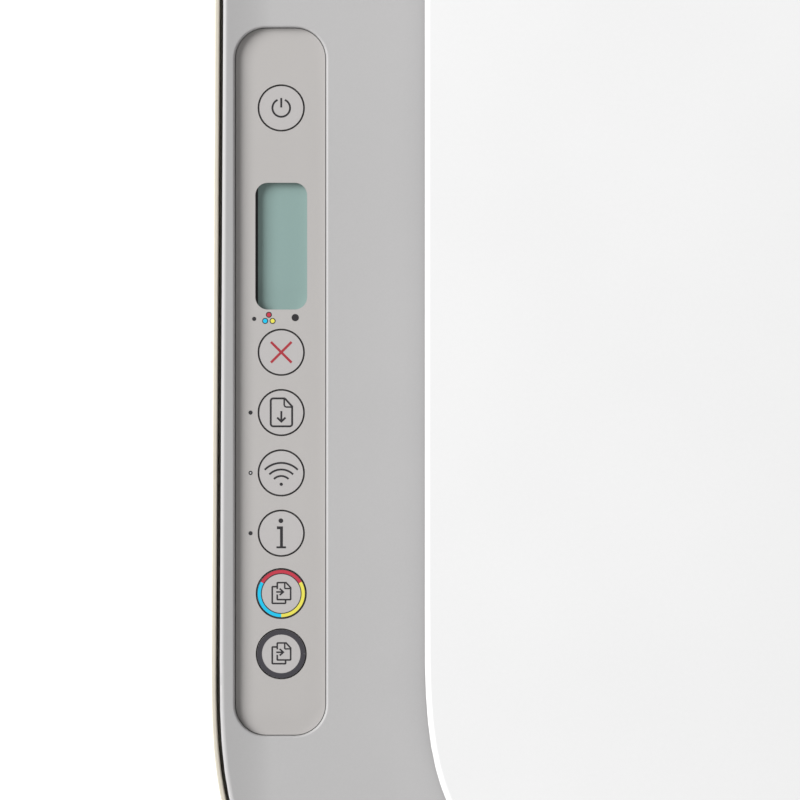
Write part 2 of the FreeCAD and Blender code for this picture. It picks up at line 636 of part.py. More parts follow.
def scanner_pan():
    """Tray that carries the glass unit: floor, walls, belt post, rod blocks and board posts."""
    floor = body_prism(DECK_INSET + WALL + 1.0, LEDGE_Z, PAN_TOP)
    x0, x1 = SCAN_IDLE_X - 10, SCAN_DRIVE_X + 12
    y0, y1 = GLASS_FRONT - 7, SLOT_FRONT - 6
    wall = box(x0, x1, y0, y1, PAN_TOP - 1, HEAD_TOP + 0.2)
    wall = wall.cut(box(x0 + 2, x1 - 2, y0 + 2, y1 - 2, PAN_TOP - 2, HEAD_TOP + 2))
    blocks = [box(x - 4, x + 4, SCAN_ROD_Y - 6, SCAN_ROD_Y + 6, PAN_TOP - 1, SCAN_ROD_Z + 6)
              for x in (x0 + 5, x1 - 5)]
    post = rod(PULLEY_RADIUS - 0.1, (SCAN_IDLE_X, SCAN_BELT_Y, PAN_TOP - 1),
               (SCAN_IDLE_X, SCAN_BELT_Y, PAN_TOP + 5.5))
    posts = [rod(3.2, (x, y, PAN_TOP - 1), (x, y, BOARD_TOP - 1.6)) for x, y in board_posts()]
    pan = joined(floor, wall, *blocks, post, *posts)
    pan = pan.cut(box(-SLOT_HALF - 4, SLOT_HALF + 4, SLOT_FRONT - 3.5, REAR, LEDGE_Z - 1, DECK_TOP))
    pan = pan.cut(rod(ROD_RADIUS, (x0 + 1, SCAN_ROD_Y, SCAN_ROD_Z), (x1 - 1, SCAN_ROD_Y, SCAN_ROD_Z)))
    for x, y in board_posts():
        pan = pan.cut(rod(SCREW_RADIUS, (x, y, BOARD_TOP - 12), (x, y, BOARD_TOP)))
    return pan


def scanner_glass():
    """Clear plate that the page lies on."""
    fit = SLIP
    return box(GLASS_LEFT + fit, GLASS_RIGHT - fit, GLASS_FRONT + fit, GLASS_REAR - fit,
               GLASS_TOP - GLASS_THICK, GLASS_TOP)


def scan_guide_rod():
    """Steel rod that the scan head slides on."""
    x0, x1 = SCAN_IDLE_X - 9, SCAN_DRIVE_X + 11
    return rod(ROD_RADIUS, (x0, SCAN_ROD_Y, SCAN_ROD_Z), (x1, SCAN_ROD_Y, SCAN_ROD_Z))


def scan_head():
    """Contact image sensor bar with its lens strip channel, rod bearing and belt clip."""
    x0, x1 = HEAD_LEFT, HEAD_LEFT + HEAD_X
    bar = box(x0, x1, GLASS_FRONT + 1, GLASS_REAR - 1, SCAN_ROD_Z + 5, HEAD_TOP)
    bar = bar.cut(box(x0 + 7, x1 - 7, GLASS_FRONT + 5, GLASS_REAR - 5, HEAD_TOP - 2.5, HEAD_TOP + 1))
    lens = box(x0 + 9.5, x1 - 9.5, GLASS_FRONT + 6, GLASS_REAR - 6, HEAD_TOP - 3.5, HEAD_TOP - 1)
    bearing = box(x0, x1, SCAN_ROD_Y - 6, SCAN_ROD_Y + 6, PAN_TOP + 0.8, SCAN_ROD_Z + 6)
    run_y = SCAN_BELT_Y - PULLEY_RADIUS - SLIP - BELT_THICK
    clip = box(x0 + 4, x1 - 4, run_y - 3.5, run_y - SLIP, PAN_TOP + 0.8, SCAN_ROD_Z + 6)
    head = joined(bar, lens, bearing, clip)
    bore = rod(ROD_RADIUS + RUN, (x0 - 1, SCAN_ROD_Y, SCAN_ROD_Z), (x1 + 1, SCAN_ROD_Y, SCAN_ROD_Z))
    return head.cut(bore)


def flat_belt(x0, x1, y, inner, z0, z1):
    """Belt that runs round two upright pulleys."""
    def loop(radius):
        return joined(rod(radius, (x0, y, z0), (x0, y, z1)), rod(radius, (x1, y, z0), (x1, y, z1)),
                      box(x0, x1, y - radius, y + radius, z0, z1))
    return loop(inner + BELT_THICK).cut(loop(inner))


def scan_belt():
    """Belt between the scan motor's pulley and the idler post."""
    return flat_belt(SCAN_IDLE_X, SCAN_DRIVE_X, SCAN_BELT_Y, PULLEY_RADIUS + SLIP - 0.1,
                     PAN_TOP + 1.4, PAN_TOP + 4.4)


def scan_drive_pulley():
    """Toothed pulley on the scan motor's shaft."""
    wheel = rod(PULLEY_RADIUS, (SCAN_DRIVE_X, SCAN_BELT_Y, PAN_TOP + 0.8),
                (SCAN_DRIVE_X, SCAN_BELT_Y, PAN_TOP + 4.9))
    shaft = rod(1.5, (SCAN_DRIVE_X, SCAN_BELT_Y, PAN_TOP + 0.8),
                (SCAN_DRIVE_X, SCAN_BELT_Y, PAN_TOP + 10))
    return joined(wheel, shaft)


def scan_motor():
    """Small motor that drives the scan belt, held on the wall by its flange."""
    low = PAN_TOP + 5.6
    can = rod(9.5, (SCAN_DRIVE_X, SCAN_BELT_Y, low + 1.2), (SCAN_DRIVE_X, SCAN_BELT_Y, HEAD_TOP - 2))
    flange = box(SCAN_DRIVE_X - 9.5, SCAN_DRIVE_X + 9.8, SCAN_BELT_Y - 14, SCAN_BELT_Y + 14, low, low + 1.5)
    bore = rod(1.5 + RUN, (SCAN_DRIVE_X, SCAN_BELT_Y, low - 1), (SCAN_DRIVE_X, SCAN_BELT_Y, low + 6))
    return joined(can, flange).cut(bore)


# ---- lid -----------------------------------------------------------------------------------------

def lid_prism(inset, z0, z1):
    """Prism of the lid's outline, inset by a distance."""
    wire = outline(LID_LEFT + inset, LID_RIGHT - inset, LID_FRONT + inset, LID_REAR - inset,
                   (LID_CORNER_X - inset, LID_CORNER_Y - inset, LID_CORNER_POWER),
                   (LID_RIGHT_CORNER_X - inset, LID_RIGHT_CORNER_Y - inset, CORNER_POWER),
                   LID_REAR_RADIUS - inset, z0)
    return Part.Face(wire).extrude(Vec(0, 0, z1 - z0))


def hinge_arm(x):
    """Arm behind the lid's rear wall with its knuckle and cross pin."""
    w = HINGE_ARM / 2
    reach = w + HINGE_EAR
    arm = box(x - w, x + w, LID_REAR - 1, LID_AXIS_Y, LID_AXIS_Z - 0.9, LID_AXIS_Z + HINGE_KNUCKLE)
    knuckle = rod(HINGE_KNUCKLE, (x - w, LID_AXIS_Y, LID_AXIS_Z), (x + w, LID_AXIS_Y, LID_AXIS_Z))
    pin = rod(HINGE_PIN, (x - reach, LID_AXIS_Y, LID_AXIS_Z), (x + reach, LID_AXIS_Y, LID_AXIS_Z))
    return joined(arm, knuckle, pin)


def scanner_lid():
    """Hollow lid with rounded upper edges, a finger notch and two hinge arms."""
    lid = round_top(lid_prism(0.0, LID_BOTTOM, BODY_HEIGHT), BODY_HEIGHT, LID_ROUND)
    lid = lid.cut(lid_prism(LID_WALL, LID_BOTTOM - 1, BODY_HEIGHT - LID_WALL))
    x_mid = (LID_LEFT + LID_RIGHT) / 2
    lid = lid.cut(box(x_mid - 22, x_mid + 22, LID_FRONT - 1, LID_FRONT + 1.2, LID_BOTTOM - 1,
                      LID_BOTTOM + 2.2))
    inside = lid_prism(LID_WALL - 0.5, PAD_TOP, BODY_HEIGHT - LID_WALL + 0.5)
    rib = box(LID_RIB_X - 0.8, LID_RIB_X + 0.8, LID_FRONT, LID_REAR, PAD_TOP, BODY_HEIGHT - 1)
    return joined(lid, rib.common(inside), *[hinge_arm(x) for x in HINGE_SPOTS])


def lid_pad():
    """Soft backing that presses the page on the glass."""
    return rounded_box(GLASS_LEFT - 4, GLASS_RIGHT + 4, GLASS_FRONT - 3, GLASS_REAR + 1.5,
                       LID_BOTTOM - 0.4, PAD_TOP, 5.0)


# ---- key panel -----------------------------------------------------------------------------------

KEYS = [
    ("black_copy_key", LOWEST_KEY_Y, COPY_KEY_RADIUS),
    ("colour_copy_key", LOWEST_KEY_Y + KEY_PITCH, COPY_KEY_RADIUS),
    ("information_key", LOWEST_KEY_Y + 2 * KEY_PITCH, KEY_RADIUS),
    ("wireless_key", LOWEST_KEY_Y + 3 * KEY_PITCH, KEY_RADIUS),
    ("resume_key", LOWEST_KEY_Y + 4 * KEY_PITCH, KEY_RADIUS),
    ("cancel_key", LOWEST_KEY_Y + 5 * KEY_PITCH, KEY_RADIUS),
    ("power_key", POWER_KEY_Y, KEY_RADIUS),
]


def light_spots():
    """Plan places of the four small lights, three of them beside a key."""
    beside = [(LIGHT_X, LOWEST_KEY_Y + i * KEY_PITCH) for i in (2, 3, 4)]
    return beside + [(LIGHT_X + 0.8, INK_LIGHT_Y)]


def control_panel():
    """Flat floor of the recess with the key holes, the display window and the light holes."""
    plate = panel_shape(-PANEL_DRAFT - PANEL_GAP, PANEL_UNDER, PANEL_TOP)
    for _, y, radius in KEYS:
        plate = plate.cut(rod(radius + KEY_GAP, (KEY_X, y, PANEL_UNDER - 1), (KEY_X, y, PANEL_TOP + 1)))
    window = rounded_box(KEY_X - DISPLAY_X / 2, KEY_X + DISPLAY_X / 2, DISPLAY_MIDDLE_Y - DISPLAY_Y / 2,
                         DISPLAY_MIDDLE_Y + DISPLAY_Y / 2, PANEL_UNDER - 1, PANEL_TOP + 1, DISPLAY_RADIUS)
    plate = plate.cut(window)
    for x, y in light_spots():
        plate = plate.cut(rod(LIGHT_RADIUS + 0.04, (x, y, PANEL_UNDER - 1), (x, y, PANEL_TOP + 1)))
    return plate


def panel_key(y, radius):
    """Round key cap with a retaining flange under the panel and a stem over its switch."""
    flange_top = PANEL_UNDER - 0.2
    cap = rod(radius, (KEY_X, y, flange_top - 0.3), (KEY_X, y, PANEL_TOP))
    rim = [e for e in cap.Edges if e.BoundBox.ZMin > PANEL_TOP - 0.01]
    cap = cap.makeFillet(0.12, rim)
    flange = rod(radius + KEY_FLANGE, (KEY_X, y, flange_top - 0.8), (KEY_X, y, flange_top))
    stem = rod(1.6, (KEY_X, y, switch_top() + KEY_TRAVEL + 0.05), (KEY_X, y, flange_top))
    return joined(cap, flange, stem)


def switch_top():
    """Height of the switches' plungers."""
    return BOARD_TOP + 1.5


def display_module():
    """Display in a low frame, just under the window of the panel."""
    half_x = DISPLAY_X / 2 + 2.0
    half_y = DISPLAY_Y / 2 + 1.0
    return box(KEY_X - half_x, KEY_X + half_x, DISPLAY_MIDDLE_Y - half_y, DISPLAY_MIDDLE_Y + half_y,
               BOARD_TOP, PANEL_UNDER - 0.1)


def panel_board():
    """Key board with a low switch under each key and four lamps that reach the panel's face."""
    plate = box(PANEL_X0 + 1.8, PANEL_X1 - 1.8, PANEL_Y0 + 3, PANEL_Y1 - 3, BOARD_TOP - 1.6, BOARD_TOP)
    parts = [plate]
    for _, y, _radius in KEYS:
        parts.append(box(KEY_X - 3, KEY_X + 3, y - 3, y + 3, BOARD_TOP - 0.5, BOARD_TOP + 1.0))
        parts.append(rod(1.7, (KEY_X, y, BOARD_TOP), (KEY_X, y, switch_top())))
    for x, y in light_spots():
        parts.append(box(x - 0.8, x + 0.8, y - 0.8, y + 0.8, BOARD_TOP - 0.5, BOARD_TOP + 0.8))
        parts.append(rod(LIGHT_RADIUS, (x, y, BOARD_TOP), (x, y, PANEL_TOP - 0.05)))
    board = joined(*parts)
    for x, y in board_posts():
        board = board.cut(rod(SCREW_RADIUS, (x, y, BOARD_TOP - 3), (x, y, BOARD_TOP + 3)))
    return board


# ---- engine frame --------------------------------------------------------------------------------

def gear_spots():
    """Teeth, centre and phase of every gear of the feed train, by node name."""
    feed_phase = 0.0
    idler = mesh_phase(feed_phase, GEAR_TEETH, 180.0, GEAR_TEETH)
    eject = mesh_phase(idler, GEAR_TEETH, 180.0, GEAR_TEETH)
    pick_idler = mesh_phase(feed_phase, GEAR_TEETH, PICK_ANGLE, GEAR_TEETH)
    pick = mesh_phase(pick_idler, GEAR_TEETH, PICK_ANGLE, GEAR_TEETH)
    motor = mesh_phase(feed_phase, GEAR_TEETH, MOTOR_ANGLE, PINION_TEETH)
    return {
        "feed_gear": (GEAR_TEETH, FEED_Y, ROLLER_Z, feed_phase),
        "front_idler_gear": (GEAR_TEETH, IDLER_Y, ROLLER_Z, idler),
        "eject_gear": (GEAR_TEETH, EJECT_Y, ROLLER_Z, eject),
        "rear_idler_gear": (GEAR_TEETH, PICK_IDLER_Y, PICK_IDLER_Z, pick_idler),
        "pick_gear": (GEAR_TEETH, PICK_Y, PICK_Z, pick),
        "motor_pinion": (PINION_TEETH, MOTOR_Y, MOTOR_Z, motor),
    }


def engine_frame():
    """Two side plates with feet, a cross beam, a tie bar, idler pins, belt post, motor bracket."""
    y0, y1 = EJECT_Y - 12, PICK_Y + 12
    plates = both_sides(FRAME_X, FRAME_X + PLATE, y0, y1, PLATE_BOTTOM, PLATE_TOP)
    feet = []
    for x, y in frame_feet():
        feet.append(box(x - 8, x + 8, y - 8, y + 8, PLATE_BOTTOM, PLATE_BOTTOM + 3))
    beam = box(-FRAME_X - 1, FRAME_X + 1, BEAM_Y, BEAM_Y + BEAM_THICK, 62, PLATE_TOP - 2)
    tie = box(-FRAME_X - 1, FRAME_X + 1, TIE_Y, TIE_Y + 8, TIE_Z, TIE_Z + 4)
    shelf = box(PULLEY_X - 12, PULLEY_X + 12, BELT_Y - 8, BEAM_Y + 1, BELT_Z - 6.5, BELT_Z - 5)
    idler_post = rod(PULLEY_RADIUS, (PULLEY_X, BELT_Y, BELT_Z - 6), (PULLEY_X, BELT_Y, BELT_Z + 4))
    pins = [rod(SHAFT_RADIUS, (-FRAME_X - 1, y, z), (GEAR_X0 - 0.8, y, z))
            for y, z in ((IDLER_Y, ROLLER_Z), (PICK_IDLER_Y, PICK_IDLER_Z))]
    bracket = box(BRACKET_X - 2, BRACKET_X, MOTOR_Y - 16, MOTOR_Y + 16, MOTOR_Z - 9, BRACKET_TOP)
    posts = [rod(2.5, (-FRAME_X - 1, MOTOR_Y + dy, BRACKET_TOP - 4),
                 (BRACKET_X - 1, MOTOR_Y + dy, BRACKET_TOP - 4)) for dy in (-12, 12)]
    frame = joined(*plates, *feet, beam, tie, shelf, idler_post, *pins, bracket, *posts)
    for y, z in ((FEED_Y, ROLLER_Z), (EJECT_Y, ROLLER_Z), (PICK_Y, PICK_Z)):
        frame = frame.cut(rod(SHAFT_RADIUS + RUN, (-FRAME_X - 5, y, z), (FRAME_X + 5, y, z)))
    frame = frame.cut(rod(CARRIAGE_ROD, (-FRAME_X - 5, ROD_Y, ROD_Z), (FRAME_X + 5, ROD_Y, ROD_Z)))
    frame = frame.cut(rod(1.5 + RUN, (BRACKET_X - 5, MOTOR_Y, MOTOR_Z), (BRACKET_X + 1, MOTOR_Y, MOTOR_Z)))
    frame = frame.cut(rod(1.0 + RUN, (-FRAME_X - 5, FEED_Y, PINCH_Z), (FRAME_X + 5, FEED_Y, PINCH_Z)))
    frame = frame.cut(rod(1.0 + RUN, (-FRAME_X - 5, EJECT_Y, PINCH_Z), (FRAME_X + 5, EJECT_Y, PINCH_Z)))
    for y in (-30, 60):
        for side in (-1, 1):
            frame = frame.cut(rod(8.0, (side * (FRAME_X - 5), y, 84), (side * (FRAME_X + 5), y, 84)))
    for x, y in frame_feet():
        frame = frame.cut(rod(SCREW_RADIUS, (x, y, PLATE_BOTTOM - 2), (x, y, PLATE_BOTTOM + 5)))
    return frame


def train_gear(name):
    """One gear of the feed train, bored for its shaft or pin."""
    teeth, y, z, phase = gear_spots()[name]
    loose = {"front_idler_gear": RUN, "rear_idler_gear": RUN}
    bore = 1.5 if name == "motor_pinion" else SHAFT_RADIUS + loose.get(name, 0.0)
    wheel = gear(teeth, y, z, phase, bore)
    if teeth == GEAR_TEETH:
        for side in (GEAR_X0 - 1, GEAR_X1 - 2):
            ring = rod(GEAR_RADIUS - 3.5, (side, y, z), (side + 3, y, z))
            ring = ring.cut(rod(SHAFT_RADIUS + 3, (side - 1, y, z), (side + 4, y, z)))
            wheel = wheel.cut(ring)
    return wheel


def geared_roller(gear_name, radius, spans):
    """Roller between the side plates with its moulded gear on the left end of the shaft."""
    _, y, z, _ = gear_spots()[gear_name]
    return joined(roller(y, z, radius, spans, GEAR_X0, FRAME_X + 4), train_gear(gear_name))


def roller(y, z, radius, spans, left_end, right_end, shaft=SHAFT_RADIUS):
    """Shaft with rubber sleeves over the given X spans, as one turning piece."""
    parts = [rod(shaft, (left_end, y, z), (right_end, y, z))]
    parts += [rod(radius, (x0, y, z), (x1, y, z)) for x0, x1 in spans]
    return joined(*parts)


def even_spans(half, count, width):
    """Equal spans spread evenly over a half width."""
    pitch = (2 * half - width) / (count - 1)
    return [(-half + i * pitch, -half + i * pitch + width) for i in range(count)]


def feed_roller():
    """Main roller that moves the sheet over the platen."""
    return geared_roller("feed_gear", FEED_RADIUS, [(-SHEET_HALF, SHEET_HALF)])


def eject_roller():
    """Front roller with five sleeves that pushes the sheet out."""
    return geared_roller("eject_gear", FEED_RADIUS, even_spans(SHEET_HALF, 5, 16))


def pick_roller():
    """Rear roller that draws one sheet off the stack."""
    return geared_roller("pick_gear", PICK_RADIUS, [(-PICK_HALF, PICK_HALF)])


def pinch_rollers():
    """Thin shaft with four free-turning sleeves over the feed roller."""
    return roller(FEED_Y, PINCH_Z, PINCH_RADIUS, even_spans(SHEET_HALF - 4, 4, 36),
                  -FRAME_X - 2, FRAME_X + 2, 1.0)


def star_wheels():
    """Thin shaft with pairs of spiked wheels over the eject roller."""
    parts = [rod(1.0, (-FRAME_X - 2, EJECT_Y, PINCH_Z), (FRAME_X + 2, EJECT_Y, PINCH_Z))]
    spikes = 16
    for x0, x1 in even_spans(SHEET_HALF, 5, 16):
        for x in (x0 + 3, x1 - 3.8):
            ring = []
            for k in range(2 * spikes):
                r = PINCH_RADIUS if k % 2 == 0 else PINCH_RADIUS - 0.7
                a = math.pi * k / spikes
                ring.append(Vec(x, EJECT_Y + r * math.cos(a), PINCH_Z + r * math.sin(a)))
            parts.append(Part.Face(Part.makePolygon(ring + ring[:1])).extrude(Vec(0.8, 0, 0)))
            parts.append(rod(1.8, (x - 1.2, EJECT_Y, PINCH_Z), (x + 2.0, EJECT_Y, PINCH_Z)))
    return joined(*parts)


def star_wheel_holder():
    """Bar in front of the star wheels with a fork between the pairs."""
    bar = box(-FRAME_X, FRAME_X, EJECT_Y - 11, EJECT_Y - 5, PINCH_Z - 1.5, PINCH_Z + 3)
    spans = even_spans(SHEET_HALF, 5, 16)
    forks = []
    for x in [(a[1] + b[0]) / 2 for a, b in zip(spans, spans[1:])]:
        forks.append(box(x - 3, x + 3, EJECT_Y - 6, EJECT_Y + 2.6, PINCH_Z - 2.2, PINCH_Z + 2.6))
    holder = joined(bar, *forks)
    return holder.cut(rod(1.0 + RUN, (-FRAME_X, EJECT_Y, PINCH_Z), (FRAME_X, EJECT_Y, PINCH_Z)))


def pinch_arms():
    """Upper sheet guide on the cross beam, with arms that carry the pinch shaft."""
    plate = box(-SHEET_HALF, SHEET_HALF, FEED_Y + 6, BEAM_Y, PINCH_Z + 4, PINCH_Z + 6)
    lip = box(-SHEET_HALF, SHEET_HALF, BEAM_Y - 2, BEAM_Y, PINCH_Z + 5, 74)
    spans = even_spans(SHEET_HALF - 4, 4, 36)
    between = [(a[1] + b[0]) / 2 for a, b in zip(spans, spans[1:])]
    arms = [box(x - 1.4, x + 1.4, FEED_Y - 2.4, FEED_Y + 7, PINCH_Z - 2.0, PINCH_Z + 6)
            for x in [-SHEET_HALF + 1.5] + between + [SHEET_HALF - 1.5]]
    guide = joined(plate, lip, *arms)
    return guide.cut(rod(1.0 + RUN, (-FRAME_X, FEED_Y, PINCH_Z), (FRAME_X, FEED_Y, PINCH_Z)))


def platen():
    """Ribbed table under the print heads, with the waste tub of the cap sled at its right end."""
    y0 = EJECT_Y + FEED_RADIUS + 0.8
    y1 = FEED_Y - FEED_RADIUS - 0.8
    plate = box(-SHEET_HALF, SHEET_HALF, y0, y1, PLATEN_TOP - 6, PLATEN_TOP - 3)
    count = 13
    pitch = (2 * SHEET_HALF - 6) / (count - 1)
    ribs = [box(-SHEET_HALF + 2 + i * pitch, -SHEET_HALF + 4 + i * pitch, y0 + 1, y1 - 1,
                PLATEN_TOP - 4, PLATEN_TOP) for i in range(count)]
    legs = [box(x - 6, x + 6, TIE_Y + 1, TIE_Y + 7, TIE_Z + 4, PLATEN_TOP - 5) for x in (-90, 0, 90)]
    tub = box(STATION_X0, STATION_X1, STATION_Y0, STATION_Y1, TIE_Z + 4, PLATEN_TOP - 5)
    tub = tub.cut(box(STATION_X0 + 2, STATION_X1 - 2, STATION_Y0 + 2, STATION_Y1 - 2,
                      TIE_Z + 6, PLATEN_TOP))
    web = box(SHEET_HALF - 2, STATION_X0 + 1, STATION_Y0 + 4, STATION_Y1 - 4, PLATEN_TOP - 8, PLATEN_TOP - 5)
    return joined(plate, *ribs, *legs, tub, web)


# ---- carriage and cartridges ---------------------------------------------------------------------

def carriage_rod():
    """Polished rod that the carriage runs on."""
    return rod(CARRIAGE_ROD, (-FRAME_X - 2, ROD_Y, ROD_Z), (FRAME_X + 2, ROD_Y, ROD_Z))


def cartridge_centres():
    """X of the two cartridges with the carriage at home."""
    return [CARRIAGE_HOME + s * CARTRIDGE_PITCH / 2 for s in (-1, 1)]


def carriage():
    """Cradle for two cartridges, open at the top and front, with rod bearing and belt clip."""
    x0, x1 = CARRIAGE_HOME - CARRIAGE_X / 2, CARRIAGE_HOME + CARRIAGE_X / 2
    cradle = box(x0, x1, CARRIAGE_FRONT, CARRIAGE_BACK, CARRIAGE_BOTTOM, CARRIAGE_TOP)
    for x in cartridge_centres():
        w = CARTRIDGE_WIDTH / 2 + SLIP
        cradle = cradle.cut(box(x - w, x + w, CARRIAGE_FRONT - 1, CARRIAGE_BACK - 2.5,
                                CARRIAGE_BOTTOM + 2.2, CARRIAGE_TOP + 1))
        cradle = cradle.cut(box(x - 8.5, x + 8.5, CARRIAGE_FRONT - 1, 8, CARRIAGE_BOTTOM - 1,
                                CARRIAGE_BOTTOM + 3))
    boss = box(x0, x1, CARRIAGE_BACK - 1, ROD_Y + 6.4, ROD_Z - 7, ROD_Z + 7)
    clip_y = BELT_Y - PULLEY_RADIUS - BELT_THICK - SLIP
    clip = box(CARRIAGE_HOME - 6, CARRIAGE_HOME + 6, ROD_Y + 6, clip_y - SLIP, BELT_Z - 4, BELT_Z + 4)
    body = joined(cradle, boss, clip)
    body = body.cut(rod(CARRIAGE_ROD + RUN, (x0 - 1, ROD_Y, ROD_Z), (x1 + 1, ROD_Y, ROD_Z)))
    return body


def cartridge(x):
    """Ink cartridge with a nozzle nose below and a grip rib on its front."""
    w = CARTRIDGE_WIDTH / 2
    low = CARRIAGE_BOTTOM + 2.5
    tank = box(x - w, x + w, CARRIAGE_FRONT + 1, CARRIAGE_BACK - 2.8, low, CARTRIDGE_TOP)
    tank = round_upright(tank, 1.5)
    nose = box(x - 7, x + 7, -13, 7, PLATEN_TOP + 1.4, low + 0.5)
    grip = box(x - 9, x + 9, CARRIAGE_FRONT - 1.5, CARRIAGE_FRONT + 1.5, CARTRIDGE_TOP - 9, CARTRIDGE_TOP - 5)
    return joined(tank, nose, grip)


def carriage_belt():
    """Belt that pulls the carriage."""
    return flat_belt(-PULLEY_X, PULLEY_X, BELT_Y, PULLEY_RADIUS + SLIP, BELT_Z - BELT_WIDTH / 2,
                     BELT_Z + BELT_WIDTH / 2)


def belt_pulley(x, bore):
    """Flanged pulley of the carriage belt."""
    wheel = rod(PULLEY_RADIUS, (x, BELT_Y, BELT_Z - 4.2), (x, BELT_Y, BELT_Z + 4.2))
    rims = [rod(PULLEY_RADIUS + 1.6, (x, BELT_Y, BELT_Z + z), (x, BELT_Y, BELT_Z + z + 0.9))
            for z in (-4.2, 3.5)]
    pulley = joined(wheel, *rims)
    return pulley.cut(rod(bore, (x, BELT_Y, BELT_Z - 6), (x, BELT_Y, BELT_Z + 6)))


def carriage_drive_pulley():
    """Pulley and shaft of the carriage motor."""
    shaft = rod(1.5, (-PULLEY_X, BELT_Y, BELT_Z - 12), (-PULLEY_X, BELT_Y, BELT_Z + 5))
    return joined(belt_pulley(-PULLEY_X, 1.0), shaft)


def carriage_motor():
    """Motor that drives the carriage belt, on a flange fixed to the cross beam."""
    top = BELT_Z - 5.2
    can = rod(9.0, (-PULLEY_X, BELT_Y, top - 30), (-PULLEY_X, BELT_Y, top - 1))
    flange = box(-PULLEY_X - 12, -PULLEY_X + 12, BELT_Y - 9, BEAM_Y, top - 1.5, top)
    lug = box(-PULLEY_X - 12, -PULLEY_X + 12, BEAM_Y - 1.5, BEAM_Y, top - 10, top)
    bore = rod(1.5 + RUN, (-PULLEY_X, BELT_Y, BELT_Z - 12.1), (-PULLEY_X, BELT_Y, BELT_Z))
    return joined(can, flange, lug).cut(bore)


def feed_motor():
    """Motor that drives the feed train, outside the bracket, with its shaft through it."""
    x = BRACKET_X - 2
    can = rod(11.0, (x - 15, MOTOR_Y, MOTOR_Z), (x, MOTOR_Y, MOTOR_Z))
    cap = rod(4.0, (x - 16.5, MOTOR_Y, MOTOR_Z), (x - 14, MOTOR_Y, MOTOR_Z))
    bore = rod(1.5 + RUN, (x - 10, MOTOR_Y, MOTOR_Z), (x + 1, MOTOR_Y, MOTOR_Z))
    return joined(can, cap).cut(bore)


def motor_pinion():
    """Pinion with the shaft of the feed motor."""
    shaft = rod(1.5, (BRACKET_X - 11.5, MOTOR_Y, MOTOR_Z), (GEAR_X1, MOTOR_Y, MOTOR_Z))
    return joined(train_gear("motor_pinion"), shaft)


def cap_sled():
    """Sled with two soft caps and a wiper that rises against the nozzles."""
    gap = 2 + SLIP
    plate = box(STATION_X0 + gap, STATION_X1 - gap, STATION_Y0 + gap, STATION_Y1 - gap,
                TIE_Z + 6 + SLED_TRAVEL + SLIP, PLATEN_TOP - 6)
    top = PLATEN_TOP + 1.4 - NIP
    parts = [plate]
    for x in cartridge_centres():
        cup = box(x - 6, x + 6, -13, 7, PLATEN_TOP - 7, top)
        parts.append(cup.cut(box(x - 5, x + 5, -12, 6, top - 1.5, top + 1)))
    parts.append(box(CARRIAGE_HOME - 1, CARRIAGE_HOME + 1, -13, 7, PLATEN_TOP - 7, top))
    return joined(*parts)


# ---- paper input ---------------------------------------------------------------------------------

def sheet_ramp():
    """Sloping paper rest with rails behind it, and the lower sheet guide towards the feed roller."""
    face = box(-RAMP_HALF, RAMP_HALF, 0, RAMP_THICK, -RAMP_BELOW, RAMP_ABOVE)
    for side in (-1, 1):
        x0, x1 = sorted((side * (GUIDE_OUT - 60), side * (GUIDE_OUT + 1)))
        face = face.cut(box(x0, x1, -1, RAMP_THICK + 1, 40, 44.6))
    rails = both_sides(SUPPORT_HALF + SLIP, SUPPORT_HALF + 3, RAMP_THICK - 1,
                       RAMP_THICK + SUPPORT_THICK + 2.4, 0, RAMP_ABOVE - 2)
    hooks = both_sides(SUPPORT_HALF - 5, SUPPORT_HALF + 3, RAMP_THICK + SUPPORT_THICK + 2 * SLIP,
                       RAMP_THICK + SUPPORT_THICK + 2.4, 0, RAMP_ABOVE - 2)
    ramp = on_ramp(joined(face, *rails, *hooks))
    foot = on_ramp(Part.makeBox(1, 1, 1, Vec(0, 0, -RAMP_BELOW))).BoundBox
    y0 = FEED_Y + FEED_RADIUS + 2
    low = foot.ZMin + 1.0
    profile = [(y0, ROLLER_Z - 2), (foot.YMin + 1.5, low - 1), (foot.YMin + 2, low - 3.5), (y0, ROLLER_Z - 5)]
    ring = [Vec(-RAMP_HALF, y, z) for y, z in profile]
    guide = Part.Face(Part.makePolygon(ring + ring[:1])).extrude(Vec(2 * RAMP_HALF, 0, 0))
    tabs = both_sides(RAMP_HALF - 1, FRAME_X, 60, 80, low - 2, low + 0.5)
    return joined(ramp, guide, *tabs)


def paper_support():
    """Back rest that slides up out of the slot, behind the ramp."""
    y0 = RAMP_THICK + SLIP
    plate = box(-SUPPORT_HALF, SUPPORT_HALF, y0, y0 + SUPPORT_THICK, 0, RAMP_ABOVE + 2)
    grips = both_sides(EXTENDER_HALF + 6, SUPPORT_HALF - 6, y0, y0 + SUPPORT_THICK + 3,
                       RAMP_ABOVE - 0.5, RAMP_ABOVE + 2)
    rails = both_sides(EXTENDER_HALF + SLIP, EXTENDER_HALF + 3, y0 + SUPPORT_THICK - 0.5,
                       y0 + SUPPORT_THICK + EXTENDER_THICK + 2, 0, RAMP_ABOVE - 3)
    hooks = both_sides(EXTENDER_HALF - 4, EXTENDER_HALF + 3,
                       y0 + SUPPORT_THICK + EXTENDER_THICK + 2 * SLIP,
                       y0 + SUPPORT_THICK + EXTENDER_THICK + 2, 0, RAMP_ABOVE - 3)
    return on_ramp(joined(plate, *rails, *hooks, *grips))


def paper_support_extension():
    """Second slide behind the back rest."""
    y0 = RAMP_THICK + 2 * SLIP + SUPPORT_THICK
    plate = box(-EXTENDER_HALF, EXTENDER_HALF, y0, y0 + EXTENDER_THICK, 2, RAMP_ABOVE - 1)
    return on_ramp(plate)


